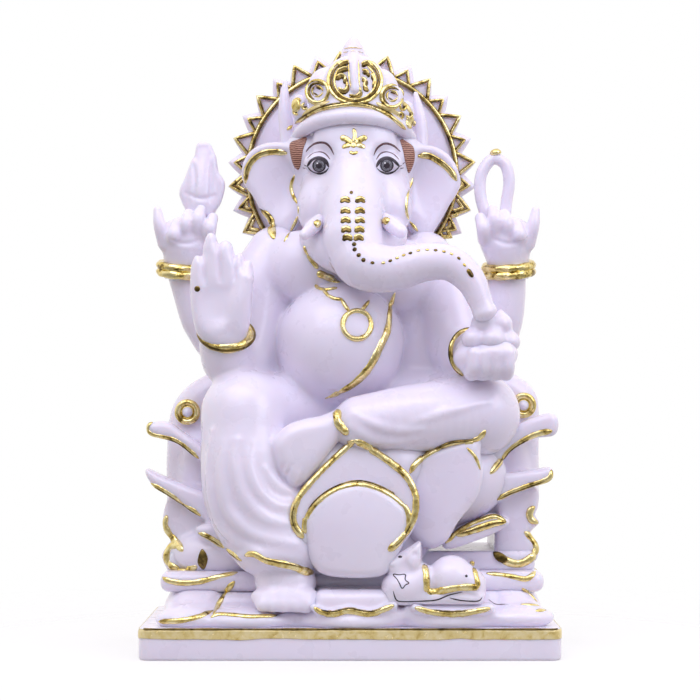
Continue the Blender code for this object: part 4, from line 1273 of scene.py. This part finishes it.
def gild_petals():
    """Gold along the edges of the lotus petals and along the hem that hangs over the foot, with painted shade
    in dark gold above the inner lines and the hem and at the lines' ends.
    """
    outer = [
        [
            (1.5, 80.0), (-7.4, 72.0), (-13.9, 65.4), (-20.0, 58.0), (-22.2, 51.6), (-21.4, 46.5),
            (-18.0, 42.2),
        ],
        [
            (1.5, 80.0), (7.0, 77.4), (14.7, 72.4), (21.6, 66.6), (25.4, 59.2), (25.2, 51.2), (22.0, 44.8),
            (18.2, 40.0), (14.7, 37.4),
        ],
    ]
    inner = [
        [
            (-17.2, 44.0), (-17.4, 48.0), (-15.8, 52.2), (-11.2, 57.4), (-4.3, 61.6), (3.9, 63.2),
            (12.0, 60.9), (18.9, 56.6), (22.4, 51.6), (22.3, 46.6),
        ],
        [
            (23.1, 67.2), (25.2, 70.7), (29.3, 74.1), (37.6, 78.3), (43.0, 79.2), (47.3, 79.6),
            (50.7, 81.4), (52.4, 84.0),
        ],
    ]
    thin = [[(45.2, 77.2), (48.7, 73.4), (50.4, 68.6)]]
    side = [
        [
            (-76.4, 87.0), (-78.4, 85.4), (-77.4, 82.6), (-73.2, 81.4), (-67.4, 79.9), (-62.8, 76.8),
            (-58.5, 72.9),
        ],
        [(-79.0, 69.0), (-79.2, 66.6), (-76.7, 63.2), (-70.9, 59.7), (-64.7, 55.8), (-57.7, 50.8)],
        [(-59.3, 44.4), (-54.4, 42.3), (-48.2, 38.2), (-41.9, 33.4)],
        [(78.3, 83.7), (70.9, 81.8), (62.4, 76.8), (57.7, 71.3), (54.2, 67.1)],
        [(78.0, 68.6), (77.1, 65.1), (69.3, 62.4), (62.0, 59.7), (56.9, 57.0)],
        [(36.8, 40.3), (43.0, 45.8), (55.0, 50.8), (60.4, 48.5)],
        [(41.0, 43.2), (48.4, 45.6), (55.8, 47.9), (60.4, 48.5)],
    ]
    hem = [[(-40.7, 35.3), (-37.2, 36.1), (-32.9, 33.4), (-22.5, 31.2), (-16.3, 29.1), (-12.0, 29.5)]]
    parts = strokes(outer, 3.2, height=0.8) + strokes(inner, 2.6, height=0.7) + strokes(thin, 1.4)
    add_gold("petal_gilding", parts + strokes(side, 2.8, height=0.6))
    add_gold("hem_gilding", strokes(hem, 3.2, height=0.6))
    # Painted shade: dark gold lines just above the inner lines and the hem, and at the ends of the side and
    # outer lines.
    shade_streaks = [shifted(line[1:-1], 0, 0.7) for line in inner + hem]
    dark = strokes(shade_streaks, 0.9, height=0.85, taper=8, sink=0.1)
    dark += strokes([line[-4:] for line in side + outer], 0.9, height=0.85, taper=4, sink=0.1)
    add_shade("petal_gilding_painted_shade", dark)


def gild_figure():
    """The sacred thread, the waist cord, the necklace with its pendant, and the dot on the palm."""
    sash = [
        (17.4, 137.2), (15.9, 132.5), (15.3, 127.9), (14.6, 122.5), (11.6, 115.9), (8.5, 109.7),
        (4.6, 104.6), (0.0, 100.8), (-5.0, 98.1), (-9.7, 96.1),
    ]
    add_gold("sash_gold", [stroke(sash, 3.5, height=0.7, taper=14)], "sacred_thread")
    waist = [(-4.6, 91.9), (-5.0, 89.2), (-4.3, 86.4), (-0.8, 82.2)]
    add_gold("waist_gold", [stroke(waist, 3.6, height=1.1, taper=1.5)], "waist_cord")
    chain = [
        [(-17.8, 155.4), (-16.7, 152.7), (-14.7, 149.6), (-12.4, 146.6)],
        [(-12.8, 144.9), (-8.9, 143.4), (-4.3, 141.1)],
        [(-13.6, 140.3), (-11.2, 138.4), (-8.1, 138.4), (-5.0, 139.1)],
        [(-10.5, 139.1), (-8.9, 136.4), (-6.2, 134.9), (-2.7, 134.5)],
        [(-3.1, 134.5), (-1.9, 132.2), (-0.4, 130.2)],
        [(4.6, 130.6), (6.2, 132.5), (7.4, 134.1)],
    ]
    widths = (1.9, 3.0, 1.6, 1.6, 1.8, 1.6)
    parts = [stroke(line, width, height=0.7, taper=1.0) for line, width in zip(chain, widths)]
    add_gold("necklace_gold", parts, "necklace")
    ring = arc((2.7, 124.8), 5.6, 0, 345, 16)
    add_gold("pendant_gold", [stroke(ring, 2.1, height=0.9, closed=True)], "pendant")
    add_shade("palm_dot", [patch(disc((-59.2, 138.7), 1.15), rings=3)])


def make_bangles():
    """Gold rings round the four wrists: one or two each, at the levels given.

    swing is how much thinner a ring gets towards its back.
    """
    count = 150
    rings = {
        "rear_right": ((-65.3, 6.4, 146.6), 8.7, 1.7, (10, 4, 0), 0.0, (1.3, -1.3)),
        "rear_left": ((61.9, 6.4, 146.6), 9.0, 1.7, (10, -4, 0), 0.0, (1.3, -1.3)),
        "front_right": ((-46.6, -24.8, 121.0), 9.0, 2.2, (38, 6, 0), 0.6, (0.0,)),
        "front_left": ((45.3, -25.2, 113.6), 8.6, 1.0, (88, 0, 28), 0.3, (0.0,)),
    }
    for side, (centre, radius, size, turn, swing, levels) in rings.items():
        swell = 1 - swing * (0.5 + 0.5 * np.sin(round_angles(count)))
        look = dict(count=count, sides=18, strands=3, twist=0.17, swell=swell)
        x, y, z = centre
        parts = [hoop((x, y, z + level), radius, size, turn, **look) for level in levels]
        add_gold("bangle_gold_" + side, parts, "bangle_" + side)
        # A single ring gets a thin dark gold ring round its outer face: painted shade and a painted dark
        # reflection.
        if len(levels) == 1:
            groove = hoop(centre, radius + size * 0.72, size * 0.42, turn, count=count, sides=10, swell=swell)
            add_shade("bangle_shade_" + side, [groove])


def gild_head():
    """Gold along the ears, on the tusks' tips, down the trunk and on the forehead, with painted shade in dark
    gold above the ear lines and the ear's fold and beside the trunk's marks.
    """
    ears = [
        [(-40.6, 179.6), (-40.2, 184.2), (-38.2, 188.2), (-34.6, 191.0), (-29.6, 191.9), (-24.4, 191.2)],
        [(26.3, 190.1), (30.1, 190.5), (34.5, 188.2), (38.9, 184.5), (41.4, 180.6)],
    ]
    inner = [
        [
            (-21.5, 182.9), (-22.9, 179.0), (-22.4, 175.5), (-20.6, 172.0), (-19.9, 169.0), (-21.3, 164.2),
            (-25.6, 156.9),
        ],
        [(24.4, 181.9), (23.6, 178.4), (22.4, 175.4), (21.8, 169.2), (23.0, 165.2), (26.3, 161.0)],
    ]
    fold = [[(-35.0, 169.3), (-32.2, 167.4), (-30.4, 164.6), (-30.4, 161.0), (-29.4, 158.0)]]
    caps = [[(-13.6, 163.2), (-12.6, 164.2), (-11.4, 164.8)], [(12.6, 165.6), (13.8, 165.4), (15.0, 164.6)]]
    parts = strokes(ears, 2.6, height=0.6) + strokes(inner, 1.5) + strokes(caps, 3.4, height=0.6, taper=0.8)
    add_gold("head_gilding", parts + strokes(fold, 3.2, height=0.6))
    # Painted shade: dark gold lines just above the ear lines and the ear's fold.
    shade_streaks = [shifted(line, 0, 0.6) for line in ears + fold]
    bright, dark = trunk_marks()
    dark += strokes(shade_streaks, 0.9, height=0.75, taper=5, sink=0.1)
    add_gold("trunk_gilding", bright + tilak())
    add_shade("trunk_gilding_painted_shade", dark)


def trunk_marks():
    """Pairs of small crescents down the trunk, then a trail of dashes out to its tip.

    They come as two lists: bright gold, and dark gold that paints the shade under each crescent and dark
    reflections in some of the dashes and at the tip, with a dark dot above them.
    """
    bright = []
    dark = [patch(disc((0.5, 176.1), 0.7), rings=3)]
    rows = ((-1.9, 4.0, 173.5), (-1.8, 3.9, 169.3), (-1.7, 3.9, 165.6), (-1.5, 3.7, 162), (-1, 3.4, 158.8))
    for left, right, z in rows:
        for x in (left, right):
            # Each crescent is bright gold with painted shade in dark gold under it.
            for height, width, lift, parts in ((0.9, 1.3, 0.3, bright), (-0.2, 1.9, 0.26, dark)):
                crescent = [(x - 1.9, z + height - 1.0), (x, z + height), (x + 1.9, z + height - 1.0)]
                parts.append(stroke(crescent, width, height=lift, spacing=0.4, taper=0.9))
    trail = [
        (1.6, 156.0), (1.8, 154.0), (3.4, 151.8), (5.2, 149.9), (8.7, 148.8), (12.9, 148.8), (15.6, 149.6),
        (18.3, 150.7), (20.8, 151.8), (23.4, 152.6), (26.5, 153.6), (30, 153.9), (33.2, 153.7),
        (36.4, 153.2), (39.4, 152.3), (42.2, 150.6), (44.4, 148.0),
    ]
    trail = np.array(trail)
    half_length = 0.75
    for index, spot in enumerate(trail):
        ahead = trail[min(index + 1, len(trail) - 1)] - trail[max(index - 1, 0)]
        ahead = ahead / np.linalg.norm(ahead) * half_length
        dash = [spot - ahead, spot, spot + ahead]
        # Some dashes are dark gold, a painted dark reflection.
        parts = dark if index < 5 or index % 3 == 0 else bright
        parts.append(stroke(dash, 1.8 if index < 4 else 1.25, height=0.3, spacing=0.35, taper=0.7))
    tip = [(45.6, 146.4), (46.6, 144.8), (47.6, 143.2)]
    dark.append(stroke(tip, 1.9, height=0.4, spacing=0.5, taper=1.0))
    return bright, dark


def tilak():
    """The small gold blossom on the forehead."""
    x, z = 1.4, 194.6
    start = np.array((x, z))
    fine = dict(height=0.35, spacing=0.35)
    parts = [patch(disc((x, z), 1.2), rings=3, height=0.3)]
    rays = ((90, 6.4, 1.7), (30, 6.0, 2.6), (150, 6.0, 2.6), (-15, 4.6, 2.2), (195, 4.6, 2.2))
    for angle, reach, width in rays:
        way = np.array((math.cos(math.radians(angle)), math.sin(math.radians(angle))))
        side = np.array((-way[1], way[0])) * (1 if angle < 90 else -1)
        line = [start + way, start + way * reach * 0.6 + side * 0.5, start + way * reach]
        parts.append(stroke(line, width, taper=1.2, **fine))
    parts.append(stroke([(x - 1.6, z - 2.6), (x, z - 3.4), (x + 1.6, z - 2.6)], 1.5, taper=0.8, **fine))
    return parts


def paint_face():
    """Brows, eyes with a painted highlight in each, and the two locks of hair beside the forehead."""
    brows = [
        [(-17.1, 191.8), (-15.6, 193.8), (-13.0, 195.3), (-9.8, 195.4), (-7.8, 193.8), (-6.2, 190.7)],
        [(9.2, 190.4), (10.2, 192.8), (11.8, 194.4), (14.0, 195.2), (17.0, 194.2), (19.6, 191.9)],
    ]
    creases = [
        [(-16.6, 189.3), (-14.6, 191.2), (-12.0, 191.9), (-9.6, 191.2), (-7.7, 188.9)],
        [(10.2, 188.9), (11.8, 191.2), (14.3, 191.9), (16.9, 191.0), (19.0, 188.9)],
    ]
    paint = dict(height=0.05, sink=0.1, spacing=0.4, ragged=0.1)
    parts = strokes(brows, 0.85, taper=3.0, **paint) + strokes(creases, 0.55, taper=2.0, **paint)
    add_paint("brows", parts, BROWN)
    lids = [
        [(-16.6, 186.2), (-14.9, 188.7), (-12.1, 189.7), (-9.6, 188.7), (-8.2, 185.9)],
        [(10.2, 185.9), (11.8, 188.7), (14.3, 189.7), (16.8, 188.7), (19.2, 186.2)],
    ]
    lower = [
        [(-16.5, 186.2), (-14.9, 184.3), (-11.9, 183.4), (-9.5, 184.1), (-8.3, 185.7)],
        [(10.3, 185.7), (11.9, 184.2), (14.5, 183.4), (17.3, 184.3), (19.1, 186.2)],
    ]
    lashes = [
        [(-16.5, 186.2), (-17.8, 186.9), (-18.8, 187.9)],
        [(-16.2, 185.6), (-17.4, 185.4), (-18.4, 185.7)],
        [(19.1, 186.2), (20.3, 186.9), (21.2, 187.9)],
        [(18.8, 185.6), (20.0, 185.4), (20.9, 185.7)],
    ]
    parts = strokes(lids, 1.2, taper=1.6, **paint) + strokes(lower, 0.85, taper=1.6, **paint)
    parts += strokes(lashes, 0.35, taper=1.0, **paint)
    irises, pupils, glints = [], [], []
    for x, z in ((-12.0, 186.5), (14.3, 186.6)):
        irises.append(patch(disc((x, z), 2.55), height=0.06, sink=0.1))
        parts.append(stroke(disc((x, z), 2.4), 0.6, height=0.1, sink=0.1, closed=True, spacing=0.4, ragged=0))
        pupils.append(patch(disc((x, z), 1.25), height=0.16, sink=0.02, rings=3))
        # Painted highlight: a white glint on each eye.
        glints.append(patch(disc((x - 0.7, z + 0.9), 0.4), height=0.24, sink=-0.06, rings=2))
    add_paint("eye_lines", parts + pupils, INK)
    add_paint("irises", irises, IRIS)
    add_paint("eye_glints", glints, SHINE)
    locks = [
        [
            (-23.4, 194.8), (-20.4, 196.6), (-16.7, 197.4), (-18.2, 192.6), (-19.3, 186.2), (-20.8, 184.9),
            (-22.6, 188.6),
        ],
        [
            (19.4, 197.0), (22.0, 195.8), (24.6, 193.6), (25.0, 188.6), (22.9, 183.6), (21.6, 187.2),
            (20.6, 192.2),
        ],
    ]
    add_paint("hair_locks", [patch(lock, height=0.25, rings=8) for lock in locks], HAIR)


def gild_crown():
    """Gold on the crown's rim, its medallions and their curls, and on the blossoms beside them, with painted
    shade in dark gold beside and between these lines.
    """
    rim = [
        (-24.5, 200.4), (-20.6, 203.4), (-16.9, 205.6), (-12.2, 208.1), (-6.6, 209.6), (1.0, 210.4),
        (7.6, 209.5), (12.8, 207.2), (17.0, 204.7), (21.6, 200.6),
    ]
    bright = [stroke(rim, 1.9, height=0.7)]
    bright.append(stroke(arc((1.9, 219.6), 10.4, -241, 61, 20, 0.87), 1.5, height=0.7))
    bright.append(stroke(arc((1.9, 219.4), 8.1, -235, 55, 20, 0.9), 1.0, height=0.5))
    # Painted shade: dark gold beside and between the bright lines, here and below.
    dark = [stroke(shifted(rim[1:-1], 0, 0.8), 0.9, height=0.75)]
    dark.append(stroke(arc((1.9, 219.5), 9.2, -238, 58, 20, 0.88), 0.9, height=0.5))
    for centre in ((-12.7, 215.4), (16.3, 213.6)):
        bright.append(stroke(disc(centre, 4.4), 1.5, height=0.5, closed=True))
        dark.append(stroke(arc(centre, 3.4, 40, 250), 1.1, height=0.5))
        for start in (30, 200):
            dark.append(stroke(arc(centre, 1.5, start, start + 80, 5), 1.2, height=0.4))
        for start in (0, 120, 240):
            bright.append(stroke(arc(centre, 2.2, start, start + 110, 5), 1.2, height=0.5))
    curls = [
        [(-4.6, 225.3), (-2.3, 226.9), (-0.4, 227.0)],
        [(-5.2, 223.0), (-3.0, 224.3), (-0.9, 224.6)],
        [(-5.6, 220.6), (-3.6, 222.0), (-1.6, 220.6), (-2.6, 219.2)],
        [(-1.6, 219.0), (-0.9, 217.2), (-2.6, 215.4), (-4.6, 216.6)],
        [(4.4, 225.8), (6.7, 227.0), (8.7, 224.6)],
        [(4.7, 223.4), (6.7, 223.4), (7.0, 221.6)],
        [(4.4, 220.6), (6.4, 219.6), (5.2, 217.6), (7.0, 216.2)],
        [(8.2, 222.2), (9.6, 219.8), (8.8, 217.3)],
        [(3.8, 216.8), (3.9, 214.7), (1.9, 213.3), (-0.4, 213.7)],
    ]
    fine = dict(spacing=0.5, taper=0.9)
    for line in curls:
        bright.append(stroke(shifted(line, 0, 0.3), 1.2, height=0.6, **fine))
        dark.append(stroke(shifted(line, 0.2, -0.8), 1.7, height=0.5, **fine))
    bar = [[(-0.6, 227.5), (-0.4, 222), (0.4, 216.8)], [(3.3, 227.5), (3.4, 222), (3.7, 217.0)]]
    tip = [[(-2.2, 231.9), (1.2, 232.4), (4.6, 231.9)], [(-2.6, 230.4), (1.2, 231.0), (5.0, 230.4)]]
    bright += strokes(bar, 0.7) + strokes(tip, 0.45)
    blossoms = [
        (-20.4, 211.4), (-20.8, 207.6), (-17.4, 209.6), (20.6, 209.4), (23.0, 206.4), (24.0, 203.0),
        (19.6, 206),
    ]
    washes = [
        [(-11.6, 209.8), (-15.4, 208.2), (-18.6, 205.6)],
        [(-8.0, 211.4), (-11.6, 210.6), (-16.2, 211.6)],
        [(10.2, 211.0), (14.2, 208.8), (18.6, 209.2)],
        [(13.0, 208.6), (17.4, 207.2), (20.4, 204.4)],
        [(19.6, 212.4), (22.4, 209.4), (24.2, 206.0)],
    ]
    add_gold("crown_wash", strokes(washes, 2.0, height=0.25), material=PALE_GOLD)
    bright.append(patch(disc((-20.9, 210.0), 1.7, 1.6), height=0.5))
    bright.append(patch(disc((23.4, 203.4), 1.7, 1.5), height=0.5))
    for index, (x, z) in enumerate(blossoms):
        turn = 50 * index
        petal = arc((x, z), 1.3, turn, turn + 250, 7)
        heart = arc((x, z), 0.5, turn + 90, turn + 250, 4)
        bright.append(stroke(petal, 1.2, height=0.5, spacing=0.5, taper=0.8))
        dark.append(stroke(heart, 0.9, height=0.35, spacing=0.3, taper=0.5))
    add_gold("crown_gilding", bright)
    add_shade("crown_gilding_painted_shade", dark)


def finish_mouse():
    """Gold along the mouse's saddle cloth, and the ink lines of its body."""
    saddle = [
        [(28.9, 32.0), (29.6, 27.6), (29.8, 21.4)],
        [(29.8, 21.6), (34.9, 21.8), (39.7, 22.6), (44.6, 23.2), (49.8, 23.2)],
        [(46.9, 33.4), (48.6, 28.5), (49.8, 23.2)],
    ]
    parts = [stroke(line, width, height=0.6, taper=1.2) for line, width in zip(saddle, (3.0, 2.8, 2.3))]
    add_gold("saddle_gilding", parts)
    star = [
        (16.4, 28.4), (19.0, 28.0), (21.6, 28.3), (21.2, 26.1), (23.1, 24.8), (21.4, 24.2), (20.2, 22.5),
        (19.2, 24.6), (18.0, 26.6),
    ]
    lines = [
        [(53.6, 18.6), (55.0, 17.4), (56.6, 16.7), (61.0, 16.7)],
        [(16.7, 21.8), (17.7, 18.6), (19.7, 17.7), (28.5, 17.9), (33.8, 18.4), (38.2, 20.2), (43.5, 21.4)],
        [(38.5, 19.1), (43.2, 18.1), (49.6, 17.9), (51.2, 19.6)],
    ]
    paint = dict(height=0.08, sink=0.1, spacing=0.4)
    ink = [patch(disc((19.4, 35.0), 0.85, 0.55), rings=3), patch(disc((45.0, 27.6), 0.55), rings=3)]
    ink += strokes(lines, 0.5, **paint) + [stroke(star, 0.4, closed=True, **paint)]
    add_paint("mouse_ink", ink, INK)


# Stage


def make_stage():
    """A pale floor that fades out into the white surroundings, so that no horizon shows."""
    half = 0.6
    corners = [(-half, -half, 0), (half, -half, 0), (half, half, 0), (-half, half, 0)]
    mesh = bpy.data.meshes.new("floor")
    mesh.from_pydata(corners, [], [(0, 1, 2, 3)])
    look = Look("floor_white")
    look.ramp(look.clouds(400, 2.0), (0.3, (0.93, 0.925, 0.94)), (0.7, (0.95, 0.945, 0.955)))
    look.vary(look.clouds(60, 2.0), "Roughness", 0.6, 0.7)
    away = look.nodes.new("ShaderNodeVectorMath")
    away.operation = "LENGTH"
    look.links.new(look.place, away.inputs[0])
    look.vary(away.outputs["Value"], "Alpha", 0.45, 0.0, start=0.07, end=0.3)
    mesh.materials.append(look.material)
    floor = bpy.data.objects.new("floor", mesh)
    bpy.context.scene.collection.objects.link(floor)


COOL_LIGHT = (0.80, 0.79, 1.0)


def add_light(name, place, aim, size, power):
    """A rectangular light with its place, aim and size in metres, and its power in watts."""
    light = bpy.data.lights.new(name, "AREA")
    light.shape = "RECTANGLE"
    light.size, light.size_y = size
    light.energy = power
    light.color = COOL_LIGHT
    obj = bpy.data.objects.new(name, light)
    obj.location = place
    obj.rotation_euler = (Vector(aim) - Vector(place)).to_track_quat("-Z", "Y").to_euler()
    bpy.context.scene.collection.objects.link(obj)


def light_scene():
    """Soft light from above, under a sky that is dim towards the camera so that gold has dark to mirror."""
    world = bpy.data.worlds.new("studio")
    bpy.context.scene.world = world
    world.use_nodes = True
    nodes, links = world.node_tree.nodes, world.node_tree.links
    way = nodes.new("ShaderNodeTexCoord")
    up_and_back = nodes.new("ShaderNodeVectorMath")
    up_and_back.operation = "DOT_PRODUCT"
    up_and_back.inputs[1].default_value = (0.0, 0.55, 0.83)
    strength = nodes.new("ShaderNodeMapRange")
    strength.interpolation_type = "SMOOTHSTEP"
    strength.inputs["From Min"].default_value = -0.9
    strength.inputs["From Max"].default_value = 0.7
    strength.inputs["To Min"].default_value = 0.24
    strength.inputs["To Max"].default_value = 1.0
    dim = nodes["Background"]
    dim.inputs["Color"].default_value = (1.0, 0.955, 0.95, 1)
    links.new(way.outputs["Generated"], up_and_back.inputs[0])
    links.new(up_and_back.outputs["Value"], strength.inputs["Value"])
    links.new(strength.outputs["Result"], dim.inputs["Strength"])
    bright = nodes.new("ShaderNodeBackground")
    bright.inputs["Color"].default_value = (1, 1, 1, 1)
    seen = nodes.new("ShaderNodeLightPath")
    mix = nodes.new("ShaderNodeMixShader")
    links.new(seen.outputs["Is Camera Ray"], mix.inputs["Fac"])
    links.new(dim.outputs["Background"], mix.inputs[1])
    links.new(bright.outputs["Background"], mix.inputs[2])
    links.new(mix.outputs["Shader"], nodes["World Output"].inputs["Surface"])
    add_light("overhead", (-0.1, -0.35, 0.80), (0, 0, 0.14), (0.9, 0.22), 1.5)
    add_light("front", (-0.14, -0.33, 0.41), (0, 0, 0.17), (0.36, 0.22), 0.50)
    add_light("side", (0.36, -0.27, 0.36), (0, 0, 0.16), (0.3, 0.3), 0.72)
    bpy.context.scene.view_settings.view_transform = "Standard"


def make_camera():
    """A long lens straight in front, from which the seen lines are given."""
    camera = bpy.data.cameras.new("camera")
    camera.sensor_width = 36.0
    camera.lens = 119.5
    obj = bpy.data.objects.new("camera", camera)
    obj.location = Vector(EYE) * UNIT
    target = Vector((0, 0, 115.0)) * UNIT
    obj.rotation_euler = (target - obj.location).to_track_quat("-Z", "Y").to_euler()
    bpy.context.scene.collection.objects.link(obj)
    bpy.context.scene.camera = obj


make_camera()
make_plinth()
make_carpet()
make_throne()
make_petals()
make_figure()
make_hands()
make_held_things()
make_mouse()
make_head()
make_crown()
make_halo()
make_rosettes()
make_bangles()
gild_base()
gild_petals()
gild_figure()
gild_head()
gild_crown()
paint_face()
finish_mouse()
make_stage()
light_scene()
